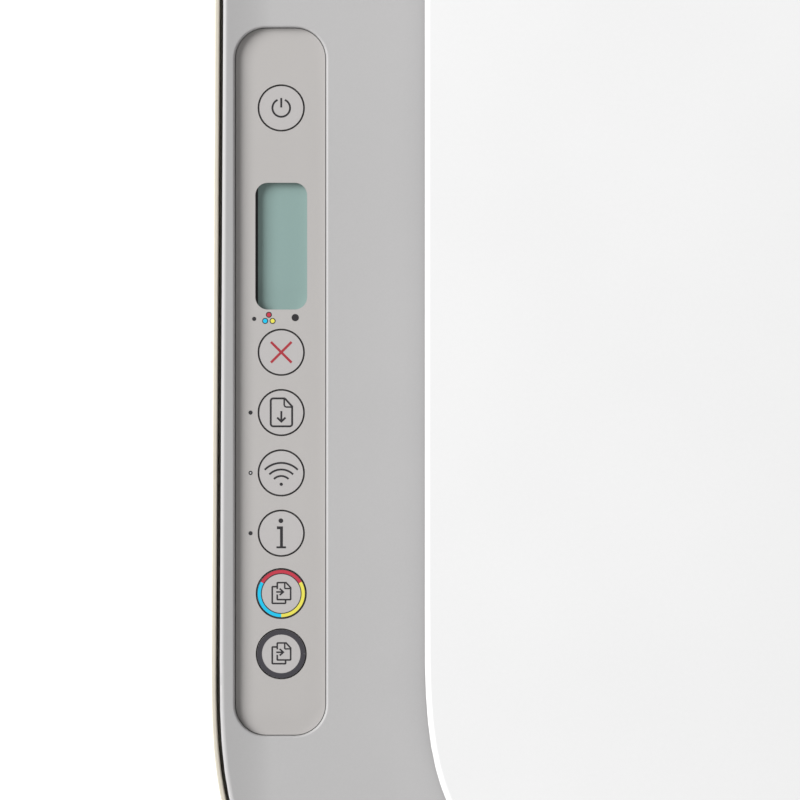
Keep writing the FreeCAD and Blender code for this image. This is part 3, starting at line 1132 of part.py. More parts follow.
def side_guide(side):
    """Paper guide that slides along the ramp, with its foot in the ramp's slot."""
    x0, x1 = sorted((side * GUIDE_OUT, side * (GUIDE_OUT - GUIDE_THICK)))
    fence = box(x0, x1, -GUIDE_HEIGHT, -SLIP, 14, RAMP_ABOVE - 6)
    base = box(min(x0, side * (GUIDE_OUT - 14)), max(x1, side * (GUIDE_OUT - 14)), -2, -SLIP, 34, 50)
    foot = box(x0, x1, -1, RAMP_THICK - SLIP, 40 + SLIP, 44.6 - SLIP)
    return on_ramp(joined(fence, base, foot))


def shield_axis():
    """Place of the slot cover's hinge axis."""
    return SLOT_FRONT + 1.7, DECK_TOP - 1.3


def slot_cover():
    """Narrow cover over the paper entry, hinged along its front edge."""
    y, z = shield_axis()
    half = SLOT_HALF - SLIP
    leaf = box(-half, half, y, y + SHIELD_DEPTH - 1.2, z - SHIELD_PIN, z + SHIELD_PIN)
    edge = rod(SHIELD_PIN, (-half - 1.2, y, z), (half + 1.2, y, z))
    return joined(leaf, edge)


# ---- paper output --------------------------------------------------------------------------------

def output_tray():
    """Sliding tray with low side rims and a channel for the extension."""
    back = OUT_FRONT + OUT_DEPTH
    tray = box(-OUT_HALF, OUT_HALF, OUT_FRONT, back, OUT_BOTTOM, OUT_BOTTOM + OUT_THICK)
    rims = both_sides(OUT_HALF - 2.5, OUT_HALF, OUT_FRONT + 6, back,
                      OUT_BOTTOM + 1, OUT_BOTTOM + OUT_THICK + 3)
    tray = joined(tray, *rims)
    channel = box(-EXTENSION_HALF - SLIP, EXTENSION_HALF + SLIP, OUT_FRONT - 1,
                  OUT_FRONT + EXTENSION_DEPTH + 4, OUT_BOTTOM + 1.5, OUT_BOTTOM + OUT_THICK + 1)
    tray = tray.cut(channel)
    covers = both_sides(EXTENSION_HALF - 3, EXTENSION_HALF + 1, OUT_FRONT + 12,
                        OUT_FRONT + EXTENSION_DEPTH, OUT_BOTTOM + OUT_THICK - 0.6, OUT_BOTTOM + OUT_THICK)
    return joined(tray, *covers)


def output_extension():
    """Second slide of the output tray, with a pocket for the paper stop."""
    low = OUT_BOTTOM + 1.5 + SLIP
    plate = box(-EXTENSION_HALF, EXTENSION_HALF, OUT_FRONT + 0.5, OUT_FRONT + EXTENSION_DEPTH, low, low + 2.3)
    plate = plate.cut(box(-STOP_HALF - SLIP, STOP_HALF + SLIP, STOP_Y - 1.6, STOP_Y + STOP_LENGTH + 0.5,
                          low - 1, low + 4))
    return plate.cut(rod(0.7 + RUN, (-STOP_HALF - 2, STOP_Y, STOP_Z), (STOP_HALF + 2, STOP_Y, STOP_Z)))


def paper_stop():
    """Flap that stands up at the end of the extension and catches the sheets."""
    leaf = box(-STOP_HALF, STOP_HALF, STOP_Y, STOP_Y + STOP_LENGTH, STOP_Z - 1.0, STOP_Z + 1.0)
    leaf = leaf.cut(box(-8, 8, STOP_Y + 11, STOP_Y + STOP_LENGTH + 1, STOP_Z - 2, STOP_Z + 2))
    edge = rod(1.0, (-STOP_HALF, STOP_Y, STOP_Z), (STOP_HALF, STOP_Y, STOP_Z))
    pin = rod(0.7, (-STOP_HALF - 1.6, STOP_Y, STOP_Z), (STOP_HALF + 1.6, STOP_Y, STOP_Z))
    return joined(leaf, edge, pin)


# ---- electrics -----------------------------------------------------------------------------------

def power_supply():
    """Closed supply box with the two-pin mains inlet at the rear."""
    case = box(FRAME_X + PLATE + 3, FRAME_X + PLATE + 26, 10, REAR - 22, OUT_BOTTOM - 3, 62)
    inlet = box(INLET_X - INLET_W / 2, INLET_X + INLET_W / 2, REAR - 24, REAR - 5.0,
                INLET_Z, INLET_Z + INLET_H)
    pin_z = INLET_Z + INLET_H / 2
    pocket = box(INLET_X - 7, INLET_X + 7, REAR - 15, REAR, INLET_Z + 3, INLET_Z + INLET_H - 3)
    pins = [rod(1.2, (INLET_X + dx, REAR - 18, pin_z), (INLET_X + dx, REAR - 7, pin_z))
            for dx in (-3.5, 3.5)]
    return joined(joined(case, inlet).cut(pocket), *pins)


def main_board():
    """Upright control board outside the right side plate, with chips and the data socket."""
    x = FRAME_X + PLATE + 2.5
    plate = box(x, x + 1.6, -30, REAR - 20, 66, 108)
    chips = [(0, 18, 78, 96), (40, 26, 74, 84), (85, 14, 80, 94), (110, 16, 88, 98)]
    parts = [plate] + [box(x + 1, x + 3.4, y, y + dy, z0, z1) for y, dy, z0, z1 in chips]
    parts += [rod(3.0, (x + 1, y, 103), (x + 10, y, 103)) for y in (-16, -6, 30)]
    port = box(USB_X - USB_W / 2, USB_X + USB_W / 2, REAR - 22, REAR - 3.2, USB_Z, USB_Z + USB_H)
    port = joined(port, box(x + 1, USB_X, REAR - 22, REAR - 20.5, USB_Z, USB_Z + USB_H))
    port = port.cut(box(USB_X - 4.4, USB_X + 4.4, REAR - 14, REAR, USB_Z + 1.4, USB_Z + USB_H - 1.6))
    tongue = box(USB_X - 2.8, USB_X + 2.8, REAR - 15, REAR - 6, USB_Z + 4, USB_Z + 7)
    return joined(*parts, port, tongue)


# ---- write the pieces ----------------------------------------------------------------------------

def build():
    """Make every piece and write it to its own file."""
    shell = cover_shell()
    pieces = {
        "base_chassis": base_chassis(),
        "rubber_feet": rubber_feet(),
        "housing_screws": housing_screws(),
        "left_side_cover": left_side_cover(shell),
        "right_side_cover": right_side_cover(shell),
        "rear_cover": rear_cover(shell),
        "front_bezel": front_bezel(shell),
        "cartridge_door": cartridge_door(shell),
        "scanner_deck": scanner_deck(),
        "scanner_pan": scanner_pan(),
        "scanner_glass": scanner_glass(),
        "scan_guide_rod": scan_guide_rod(),
        "scan_head": scan_head(),
        "scan_belt": scan_belt(),
        "scan_drive_pulley": scan_drive_pulley(),
        "scan_motor": scan_motor(),
        "scanner_lid": scanner_lid(),
        "lid_pad": lid_pad(),
        "control_panel": control_panel(),
        "display_module": display_module(),
        "panel_board": panel_board(),
        "engine_frame": engine_frame(),
        "feed_roller": feed_roller(),
        "eject_roller": eject_roller(),
        "pick_roller": pick_roller(),
        "pinch_rollers": pinch_rollers(),
        "star_wheels": star_wheels(),
        "star_wheel_holder": star_wheel_holder(),
        "pinch_arms": pinch_arms(),
        "platen": platen(),
        "carriage_rod": carriage_rod(),
        "carriage": carriage(),
        "black_cartridge": cartridge(cartridge_centres()[1]),
        "colour_cartridge": cartridge(cartridge_centres()[0]),
        "carriage_belt": carriage_belt(),
        "carriage_drive_pulley": carriage_drive_pulley(),
        "carriage_motor": carriage_motor(),
        "feed_motor": feed_motor(),
        "motor_pinion": motor_pinion(),
        "front_idler_gear": train_gear("front_idler_gear"),
        "rear_idler_gear": train_gear("rear_idler_gear"),
        "cap_sled": cap_sled(),
        "sheet_ramp": sheet_ramp(),
        "paper_support": paper_support(),
        "paper_support_extension": paper_support_extension(),
        "left_paper_guide": side_guide(-1),
        "right_paper_guide": side_guide(1),
        "slot_cover": slot_cover(),
        "output_tray": output_tray(),
        "output_extension": output_extension(),
        "paper_stop": paper_stop(),
        "power_supply": power_supply(),
        "main_board": main_board(),
    }
    for name, y, radius in KEYS:
        pieces[name] = panel_key(y, radius)
    return pieces


if __name__ == "__main__":
    os.makedirs("parts", exist_ok=True)
    for node, shape in build().items():
        shape.exportStep("parts/" + node + ".step")
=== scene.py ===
"""Looks of a desktop inkjet printer with a flatbed scanner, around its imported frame."""

import json
import logging
import math
from dataclasses import dataclass
from enum import Enum

import bmesh
import bpy
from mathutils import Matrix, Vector

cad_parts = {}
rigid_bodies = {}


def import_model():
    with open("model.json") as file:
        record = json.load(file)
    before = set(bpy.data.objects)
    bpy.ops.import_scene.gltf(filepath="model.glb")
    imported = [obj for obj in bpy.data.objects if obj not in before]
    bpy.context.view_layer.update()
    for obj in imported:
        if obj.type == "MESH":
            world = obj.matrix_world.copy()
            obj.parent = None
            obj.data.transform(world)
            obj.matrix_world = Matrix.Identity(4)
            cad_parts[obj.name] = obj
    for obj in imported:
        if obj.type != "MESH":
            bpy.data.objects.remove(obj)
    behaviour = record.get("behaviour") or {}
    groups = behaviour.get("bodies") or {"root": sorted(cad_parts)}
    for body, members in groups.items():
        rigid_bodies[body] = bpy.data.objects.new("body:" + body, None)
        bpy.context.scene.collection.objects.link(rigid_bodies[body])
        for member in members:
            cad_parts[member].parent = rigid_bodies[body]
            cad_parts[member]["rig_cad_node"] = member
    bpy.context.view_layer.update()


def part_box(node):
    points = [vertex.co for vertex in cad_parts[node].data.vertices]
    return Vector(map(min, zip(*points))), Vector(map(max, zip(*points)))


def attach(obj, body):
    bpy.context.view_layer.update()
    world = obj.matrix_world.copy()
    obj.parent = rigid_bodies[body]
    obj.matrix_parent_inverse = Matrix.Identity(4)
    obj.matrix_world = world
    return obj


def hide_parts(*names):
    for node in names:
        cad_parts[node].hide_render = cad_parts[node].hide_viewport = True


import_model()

LOG = logging.getLogger("printer")
MM = 0.001
# Distance between the slow clouds that every surface shows, in millimetres.
CLOUD_MM = 38.0
# How far light spreads inside milky plastics, in metres.
SPREAD_INSIDE = 0.0015
COAT_ROUGHNESS = 0.08
Point = tuple[float, float]
# Points of a printed line, its width and whether it is closed.
Stroke = tuple[list[Point], float, bool]


def linear(hex_colour: str) -> tuple[float, float, float, float]:
    """Turn an sRGB hex colour into the linear one that the shaders use.

    Args:
        hex_colour: Six hex digits, without a hash.

    Returns:
        Linear red, green, blue and an alpha of 1.
    """
    channels = [int(hex_colour[i:i + 2], 16) / 255 for i in (0, 2, 4)]
    bent = [c / 12.92 if c <= 0.04045 else ((c + 0.055) / 1.055) ** 2.4 for c in channels]
    return (bent[0], bent[1], bent[2], 1.0)


def per_mm(size_mm: float) -> float:
    """Scale of a pattern, drawn in metres, whose grains are size_mm apart."""
    return 1.0 / (size_mm * MM)


def add_node(tree: bpy.types.NodeTree, kind: str, settings: dict | None = None,
             links: dict | None = None) -> bpy.types.Node:
    """Add one shader node.

    Args:
        tree: The node tree it goes in.
        kind: Blender's name of the node type.
        settings: Properties, or socket values for the keys that name or number an input.
        links: Input name or number to the output socket that feeds it.

    Returns:
        The new node.
    """
    node = tree.nodes.new(kind)
    for key, value in (settings or {}).items():
        if isinstance(key, str) and key not in node.inputs:
            setattr(node, key, value)
        else:
            node.inputs[key].default_value = value
    for key, source in (links or {}).items():
        tree.links.new(source, node.inputs[key])
    return node


class Grain(Enum):
    """How a surface was left by its tool."""

    SPARKED = "sparked"
    SATIN = "satin"
    BRUSHED = "brushed"
    SMOOTH = "smooth"


@dataclass(frozen=True)
class Finish:
    """One surface: its substance, colour and the marks its making left.

    Attributes:
        name: Material and surface, as a maker would say it.
        colour: sRGB hex of the base.
        roughness: Roughness at rest.
        grain: How the tool left it.
        grain_mm: Distance between the marks.
        relief_mm: Height of the marks.
        mottle: Share by which the colour wanders.
        metallic: 1 on bare metal.
        ior: Index of refraction.
        coat: Clear coat weight.
        wear: Share by which edges lighten where hands and parts rub.
        subsurface: Weight of light that spreads inside.
    """

    name: str
    colour: str
    roughness: float
    grain: Grain = Grain.SATIN
    grain_mm: float = 0.5
    relief_mm: float = 0.01
    mottle: float = 0.03
    metallic: float = 0.0
    ior: float = 1.5
    coat: float = 0.0
    wear: float = 0.0
    subsurface: float = 0.0

    def make(self) -> bpy.types.Material:
        """Build the material once and reuse it after that.

        Returns:
            The node-based material.
        """
        known = bpy.data.materials.get(self.name)
        if known:
            return known
        material = bpy.data.materials.new(self.name)
        material.use_nodes = True
        tree = material.node_tree
        tree.nodes.clear()
        output = add_node(tree, "ShaderNodeOutputMaterial")
        place = add_node(tree, "ShaderNodeTexCoord").outputs["Object"]
        if self.grain is Grain.BRUSHED:
            stretch = add_node(tree, "ShaderNodeMapping", {"Scale": (0.04, 1.0, 1.0)},
                               {"Vector": place})
            place = stretch.outputs["Vector"]
        grain = add_node(tree, "ShaderNodeTexNoise",
                         {"Scale": per_mm(self.grain_mm), "Detail": 3.0, "Roughness": 0.6},
                         {"Vector": place})
        cloud = add_node(tree, "ShaderNodeTexNoise", {"Scale": per_mm(CLOUD_MM), "Detail": 2.0},
                         {"Vector": place})
        shader = add_node(tree, "ShaderNodeBsdfPrincipled",
                          {"Roughness": self.roughness, "Metallic": self.metallic, "IOR": self.ior,
                           "Coat Weight": self.coat, "Coat Roughness": COAT_ROUGHNESS,
                           "Subsurface Weight": self.subsurface, "Subsurface Scale": SPREAD_INSIDE})
        tree.links.new(self._colour(tree, cloud, grain), shader.inputs["Base Color"])
        self._roughness(tree, shader, cloud)
        if self.relief_mm > 0:
            tree.links.new(self._relief(tree, grain), shader.inputs["Normal"])
        tree.links.new(shader.outputs["BSDF"], output.inputs["Surface"])
        return material

    def _relief(self, tree: bpy.types.NodeTree, grain: bpy.types.Node) -> bpy.types.NodeSocket:
        """Raise the marks of the tool.

        Args:
            tree: The material's nodes.
            grain: The fine noise.

        Returns:
            The bent normal.
        """
        bump = add_node(tree, "ShaderNodeBump", {"Distance": self.relief_mm * MM, "Strength": 1.0},
                        {"Height": grain.outputs["Fac"]})
        return bump.outputs["Normal"]

    def _colour(self, tree: bpy.types.NodeTree, cloud: bpy.types.Node,
                grain: bpy.types.Node) -> bpy.types.NodeSocket:
        """Mix the base colour: slow mottle, fine specks and rubbed edges.

        Args:
            tree: The material's nodes.
            cloud: The slow noise.
            grain: The fine noise.

        Returns:
            The colour.
        """
        red, green, blue, _ = linear(self.colour)
        low = tuple(c * (1 - self.mottle) for c in (red, green, blue)) + (1.0,)
        high = tuple(min(1.0, c * (1 + self.mottle)) for c in (red, green, blue)) + (1.0,)
        half = add_node(tree, "ShaderNodeMath", {"operation": "MULTIPLY", 1: 0.5},
                        {0: cloud.outputs["Fac"]})
        blended = add_node(tree, "ShaderNodeMath", {"operation": "MULTIPLY_ADD", 1: 0.5},
                           {0: grain.outputs["Fac"], 2: half.outputs[0]})
        ramp = add_node(tree, "ShaderNodeValToRGB", None, {"Fac": blended.outputs[0]})
        ramp.color_ramp.elements[0].position = 0.35
        ramp.color_ramp.elements[0].color = low
        ramp.color_ramp.elements[1].position = 0.65
        ramp.color_ramp.elements[1].color = high
        source = ramp.outputs["Color"]
        if self.wear > 0:
            shape = add_node(tree, "ShaderNodeNewGeometry")
            edges = add_node(tree, "ShaderNodeMapRange",
                             {"From Min": 0.52, "From Max": 0.62, "To Max": self.wear},
                             {"Value": shape.outputs["Pointiness"]})
            pale = tuple(min(1.0, c * 1.6 + 0.05) for c in (red, green, blue)) + (1.0,)
            rubbed = add_node(tree, "ShaderNodeMixRGB", {"Color2": pale},
                              {"Fac": edges.outputs["Result"], "Color1": source})
            source = rubbed.outputs["Color"]
        return source

    def _roughness(self, tree: bpy.types.NodeTree, shader: bpy.types.Node,
                   cloud: bpy.types.Node) -> None:
        """Let the roughness wander a little with the slow noise.

        Args:
            tree: The material's nodes.
            shader: The surface shader.
            cloud: The slow noise.
        """
        spread = 0.12 if self.grain in (Grain.SPARKED, Grain.SATIN) else 0.05
        change = add_node(tree, "ShaderNodeMapRange",
                          {"To Min": max(0.02, self.roughness - spread / 2),
                           "To Max": min(1.0, self.roughness + spread / 2)},
                          {"Value": cloud.outputs["Fac"]})
        tree.links.new(change.outputs["Result"], shader.inputs["Roughness"])


@dataclass(frozen=True)
class PaintedShadeBandFinish(Finish):
    """A moulding whose bottom band is painted a darker grey: painted shade, so that the band throws less
    light onto the surface beside it.

    Attributes:
        lower: sRGB hex of the band.
        split: Height of the top edge of the painted shade band, in metres.
    """

    lower: str = "A0A0A0"
    split: float = 0.0

    def _colour(self, tree: bpy.types.NodeTree, cloud: bpy.types.Node,
                grain: bpy.types.Node) -> bpy.types.NodeSocket:
        """Paint the darker band of shade below its top edge.

        Args:
            tree: The material's nodes.
            cloud: The slow noise.
            grain: The fine noise.

        Returns:
            The colour.
        """
        upper = super()._colour(tree, cloud, grain)
        place = add_node(tree, "ShaderNodeTexCoord").outputs["Object"]
        axes = add_node(tree, "ShaderNodeSeparateXYZ", None, {"Vector": place})
        # Painted shade: below this height the colour is the darker grey of the band.
        above = add_node(tree, "ShaderNodeMath", {"operation": "GREATER_THAN", 1: self.split},
                         {0: axes.outputs["Z"]})
        both = add_node(tree, "ShaderNodeMixRGB", {"Color1": linear(self.lower)},
                        {"Fac": above.outputs[0], "Color2": upper})
        return both.outputs["Color"]


@dataclass(frozen=True)
class DishedFinish(Finish):
    """A spark-textured top that rises very slightly towards its left border.

    Attributes:
        edge: Where along X the rise is over, in metres.
        width: Width of the rise in metres.
        rise_mm: Height of the rise.
    """

    edge: float = -0.199
    width: float = 0.0185
    rise_mm: float = 2.0

    def _relief(self, tree: bpy.types.NodeTree, grain: bpy.types.Node) -> bpy.types.NodeSocket:
        """Add the slow rise under the grain.

        Args:
            tree: The material's nodes.
            grain: The fine noise.

        Returns:
            The bent normal.
        """
        place = add_node(tree, "ShaderNodeTexCoord").outputs["Object"]
        axes = add_node(tree, "ShaderNodeSeparateXYZ", None, {"Vector": place})
        rise = add_node(tree, "ShaderNodeMapRange",
                        {"interpolation_type": "SMOOTHSTEP", "From Min": self.edge,
                         "From Max": self.edge - self.width}, {"Value": axes.outputs["X"]})
        slope = add_node(tree, "ShaderNodeBump", {"Distance": self.rise_mm * MM, "Strength": 1.0},
                         {"Height": rise.outputs["Result"]})
        marks = add_node(tree, "ShaderNodeBump", {"Distance": self.relief_mm * MM, "Strength": 1.0},
                         {"Height": grain.outputs["Fac"], "Normal": slope.outputs["Normal"]})
        return marks.outputs["Normal"]


# Moulded ABS of the lower covers: warm white and satin, so it takes a broad soft sheen.
WARM_ABS = Finish("warm_white_moulded_ABS", "BBB5A7", 0.48, Grain.SATIN, 0.8, 0.004, 0.012)
# Lid: whiter ABS with a fine satin face that stays clean and even; the bottom of its skirt is painted
# grey as painted shade, so that it throws less light onto the deck along the lid.
LID_ABS = PaintedShadeBandFinish("white_satin_moulded_ABS_with_painted_shade_band", "E3E3E3", 0.42, Grain.SATIN, 0.9, 0.003,
                        0.008, lower="77777A", split=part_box("scanner_lid")[1].z - 0.0052)
# Deck: grey ABS from a spark-eroded mould, matt with a faint sandy grain.
DECK_ABS = DishedFinish("grey_spark_textured_ABS", "ABAAAA", 0.55, Grain.SPARKED, 0.45, 0.012, 0.018)
# Key panel: printed film on a flat carrier, smoother and slightly warmer than the deck.
PANEL_FILM = Finish("warm_grey_printed_polycarbonate_film", "ACA9A7", 0.45, Grain.SATIN, 0.35, 0.003,
                    0.010)
# Keys: the same film colour on a moulded cap.
KEY_CAP = Finish("warm_grey_moulded_key_cap", "AFACAB", 0.42, Grain.SATIN, 0.35, 0.003, 0.010)
# Screen printing ink on the keys: dense, nearly black, slightly raised.
DARK_INK = Finish("dark_screen_printing_ink", "1F1D20", 0.5, Grain.SATIN, 0.2, 0.002, 0.05)
RED_INK = Finish("crimson_screen_printing_ink", "9E2733", 0.5, Grain.SATIN, 0.2, 0.002, 0.05)
RING_RED = Finish("rose_red_screen_printing_ink", "B32C3F", 0.5, Grain.SATIN, 0.2, 0.002, 0.04)
RING_CYAN = Finish("cyan_screen_printing_ink", "00B6DC", 0.5, Grain.SATIN, 0.2, 0.002, 0.04)
RING_YELLOW = Finish("yellow_screen_printing_ink", "D9D04F", 0.5, Grain.SATIN, 0.2, 0.002, 0.04)
RING_DARK = Finish("charcoal_screen_printing_ink", "37353B", 0.5, Grain.SATIN, 0.2, 0.002, 0.05)
# Display: reflective liquid crystal glass, grey-green and slightly glossy.
DISPLAY_GLASS = Finish("grey_green_liquid_crystal_glass", "839B97", 0.28, Grain.SMOOTH, 0.3, 0.0, 0.015,
                       coat=0.4)
DISPLAY_FRAME = Finish("black_moulded_display_frame", "26282A", 0.5, Grain.SATIN, 0.4, 0.004)
# Lamp lenses: smoked acrylic, dark while the lamp is off, over a milky light pipe.
LAMP_LENS = Finish("smoked_acrylic_lamp_lens", "2E2D30", 0.25, Grain.SMOOTH, 0.3, 0.0, 0.02, coat=0.5)
LAMP_RIM = Finish("milky_acrylic_light_pipe", "CFCFD2", 0.3, Grain.SMOOTH, 0.3, 0.0, 0.02, coat=0.5)
# Charcoal polystyrene of the engine: matt with a coarse grain and rubbed edges.
ENGINE_PS = Finish("charcoal_moulded_polystyrene", "38383B", 0.55, Grain.SPARKED, 0.6, 0.010, 0.06,
                   wear=0.15)
BASE_PS = Finish("grey_black_moulded_polystyrene", "3A3A3C", 0.6, Grain.SPARKED, 0.7, 0.012, 0.06,
                 wear=0.15)
# Carriage: grey polystyrene, a shade lighter than the frame around it.
CARRIAGE_PS = Finish("mid_grey_moulded_polystyrene", "5F6165", 0.5, Grain.SPARKED, 0.6, 0.008, 0.04,
                     wear=0.10)
TRAY_GREY = Finish("mid_grey_moulded_ABS", "8F8F90", 0.5, Grain.SPARKED, 0.5, 0.010, 0.02)
# Zinc-plated sheet: cool, with a faint rolling direction.
ZINC_SHEET = Finish("zinc_plated_sheet_steel", "B9BDC0", 0.38, Grain.BRUSHED, 0.35, 0.004, 0.06,
                    metallic=1.0)
GROUND_STEEL = Finish("ground_and_polished_steel", "D4D6D8", 0.16, Grain.BRUSHED, 0.2, 0.001, 0.02,
                      metallic=1.0)
MOTOR_STEEL = Finish("nickel_plated_motor_can", "B4B4B6", 0.3, Grain.BRUSHED, 0.3, 0.002, 0.04,
                     metallic=1.0)
SCREW_STEEL = Finish("zinc_plated_screw_steel", "AEB2B8", 0.35, Grain.SMOOTH, 0.4, 0.004, 0.06,
                     metallic=1.0)
TURNED_BRASS = Finish("turned_brass", "C9A45A", 0.28, Grain.BRUSHED, 0.2, 0.002, 0.04, metallic=1.0)
TURNED_ALUMINIUM = Finish("turned_aluminium", "C8CACC", 0.3, Grain.BRUSHED, 0.2, 0.002, 0.03,
                          metallic=1.0)
# Acetal of gears and small rollers: milky, slippery and a little translucent.
ACETAL = Finish("natural_moulded_acetal", "E4E1D8", 0.35, Grain.SATIN, 0.5, 0.002, 0.02,
                subsurface=0.15)
RUBBER = Finish("black_moulded_rubber", "1B1B1C", 0.75, Grain.SPARKED, 0.4, 0.02, 0.10)
BELT_RUBBER = Finish("black_belt_polyurethane", "161617", 0.6, Grain.SPARKED, 0.5, 0.02, 0.08)
GRIT_ROLLER = Finish("grit_coated_feed_roller", "34353A", 0.7, Grain.SPARKED, 0.3, 0.03, 0.16)
GLOSS_BLACK = Finish("glossy_black_moulded_polypropylene", "101012", 0.22, Grain.SMOOTH, 0.6, 0.0, 0.05,
                     coat=0.3)
GLOSS_GREY = Finish("glossy_grey_moulded_polypropylene", "5A5E66", 0.25, Grain.SMOOTH, 0.6, 0.0, 0.05,
                    coat=0.3)
LABEL_YELLOW = Finish("matt_yellow_paper_label", "E9C93B", 0.6, Grain.SATIN, 0.3, 0.002, 0.03)
LABEL_MAGENTA = Finish("matt_magenta_paper_label", "C4477E", 0.6, Grain.SATIN, 0.3, 0.002, 0.03)
LABEL_CYAN = Finish("matt_cyan_paper_label", "3AA6CF", 0.6, Grain.SATIN, 0.3, 0.002, 0.03)
LABEL_WHITE = Finish("matt_white_paper_label", "E6E5E0", 0.6, Grain.SATIN, 0.3, 0.002, 0.02)
SOLDER_GREEN = Finish("green_solder_mask_on_glass_epoxy", "1F5A33", 0.35, Grain.SMOOTH, 0.5, 0.004, 0.10,
                      coat=0.2)
FOAM_SHEET = Finish("white_film_over_polyethylene_foam", "F2F2F1", 0.5, Grain.SATIN, 1.6, 0.03, 0.012,
                    subsurface=0.1)
FLOOR_PAPER = Finish("plain_white_paper_floor", "FFFFFF", 0.9, Grain.SATIN, 2.0, 0.0, 0.0)


@dataclass(frozen=True)
class ClearGlass:
    """Float glass of the scan bed: clear, faintly green, with a sharp reflection."""

    name: str = "clear_float_glass"
    tint: str = "E3F1EC"

    def make(self) -> bpy.types.Material:
        """Build the glass once.

        Returns:
            A material that lets light straight through and mirrors a little.
        """
        known = bpy.data.materials.get(self.name)
        if known:
            return known
        material = bpy.data.materials.new(self.name)
        material.use_nodes = True
        tree = material.node_tree
        tree.nodes.clear()
        output = add_node(tree, "ShaderNodeOutputMaterial")
        place = add_node(tree, "ShaderNodeTexCoord").outputs["Object"]
        dust = add_node(tree, "ShaderNodeTexNoise", {"Scale": per_mm(6.0), "Detail": 4.0},
                        {"Vector": place})
        dulled = add_node(tree, "ShaderNodeMapRange", {"To Min": 0.02, "To Max": 0.06},
                          {"Value": dust.outputs["Fac"]})
        through = add_node(tree, "ShaderNodeBsdfTransparent", {"Color": linear(self.tint)})
        mirror = add_node(tree, "ShaderNodeBsdfGlossy", {"Color": linear("FFFFFF")},
                          {"Roughness": dulled.outputs["Result"]})
        gloss = add_node(tree, "ShaderNodeFresnel", {"IOR": 1.5})
        mix = add_node(tree, "ShaderNodeMixShader", None,
                       {"Fac": gloss.outputs["Fac"], 1: through.outputs[0], 2: mirror.outputs[0]})
        tree.links.new(mix.outputs[0], output.inputs["Surface"])
        return material


SCAN_GLASS = ClearGlass()


@dataclass
class NodeFinishes:
    """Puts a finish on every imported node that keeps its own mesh."""

    covers: tuple[str, ...] = ("left_side_cover", "right_side_cover", "rear_cover", "front_bezel",
                               "cartridge_door", "output_tray", "output_extension", "paper_stop")
    engine: tuple[str, ...] = ("pinch_arms", "platen", "sheet_ramp", "power_supply", "scanner_pan")
    grey_parts: tuple[str, ...] = ("carriage", "star_wheel_holder", "scan_head")
    cans: tuple[str, ...] = ("scan_motor", "carriage_motor", "feed_motor")
    acetal: tuple[str, ...] = ("front_idler_gear", "rear_idler_gear", "scan_drive_pulley",
                               "pinch_rollers")
    keys: tuple[str, ...] = ("power_key", "cancel_key", "resume_key", "wireless_key",
                             "information_key", "colour_copy_key", "black_copy_key")

    def chosen(self) -> dict[str, Finish | ClearGlass]:
        """List the finish of each node.

        Returns:
            Node name to finish.
        """
        picked: dict[str, Finish | ClearGlass] = {
            "base_chassis": BASE_PS, "rubber_feet": RUBBER, "housing_screws": SCREW_STEEL,
            "scanner_deck": DECK_ABS, "scanner_glass": SCAN_GLASS, "scan_guide_rod": GROUND_STEEL,
            "scan_belt": BELT_RUBBER, "scanner_lid": LID_ABS, "control_panel": PANEL_FILM,
            "display_module": DISPLAY_FRAME, "panel_board": SOLDER_GREEN,
            "engine_frame": ZINC_SHEET, "feed_roller": GRIT_ROLLER, "eject_roller": RUBBER,
            "pick_roller": RUBBER, "star_wheels": GROUND_STEEL, "carriage_rod": GROUND_STEEL,
            "black_cartridge": GLOSS_BLACK, "colour_cartridge": GLOSS_GREY,
            "carriage_belt": BELT_RUBBER, "carriage_drive_pulley": TURNED_ALUMINIUM,
            "motor_pinion": TURNED_BRASS, "cap_sled": RUBBER, "paper_support": TRAY_GREY,
            "paper_support_extension": TRAY_GREY, "left_paper_guide": TRAY_GREY,
            "right_paper_guide": TRAY_GREY, "slot_cover": DECK_ABS, "main_board": SOLDER_GREEN,
        }
        for names, finish in ((self.covers, WARM_ABS), (self.engine, ENGINE_PS),
                              (self.grey_parts, CARRIAGE_PS),
                              (self.cans, MOTOR_STEEL), (self.acetal, ACETAL),
                              (self.keys, KEY_CAP)):
            picked.update({name: finish for name in names})
        return picked

    def dress(self) -> int:
        """Assign the finishes to the nodes' material slots.

        Returns:
            How many nodes were dressed.
        """
        picked = self.chosen()
        dressed = 0
        for item in bpy.context.scene.objects:
            node = item.get("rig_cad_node")
            if node not in picked:
                continue
            material = picked[node].make()
            if not item.material_slots:
                item.data.materials.append(material)
            for slot in item.material_slots:
                slot.material = material
            dressed += 1
        return dressed


def new_piece(name: str, body: str, finish: Finish) -> tuple[bpy.types.Object, bmesh.types.BMesh]:
    """Start a piece: an empty object with its finish, and the bmesh to fill.

    Args:
        name: The piece's name.
        body: The body it rides on.
        finish: Its surface.

    Returns:
        The object and an empty bmesh.
    """
    mesh = bpy.data.meshes.new(name)
    piece = bpy.data.objects.new(name, mesh)
    bpy.context.scene.collection.objects.link(piece)
    mesh.materials.append(finish.make())
    piece["printer_body"] = body
    return piece, bmesh.new()


def finish_piece(piece: bpy.types.Object, shape: bmesh.types.BMesh) -> bpy.types.Object:
    """Write the bmesh into the piece and hang it on its body.

    Args:
        piece: The object from new_piece.
        shape: Its filled bmesh, which is freed.

    Returns:
        The finished piece.
    """
    bmesh.ops.recalc_face_normals(shape, faces=shape.faces)
    shape.to_mesh(piece.data)
    shape.free()
    body = piece["printer_body"]
    del piece["printer_body"]
    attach(piece, body)
    LOG.info("piece %s on %s", piece.name, body)
    return piece


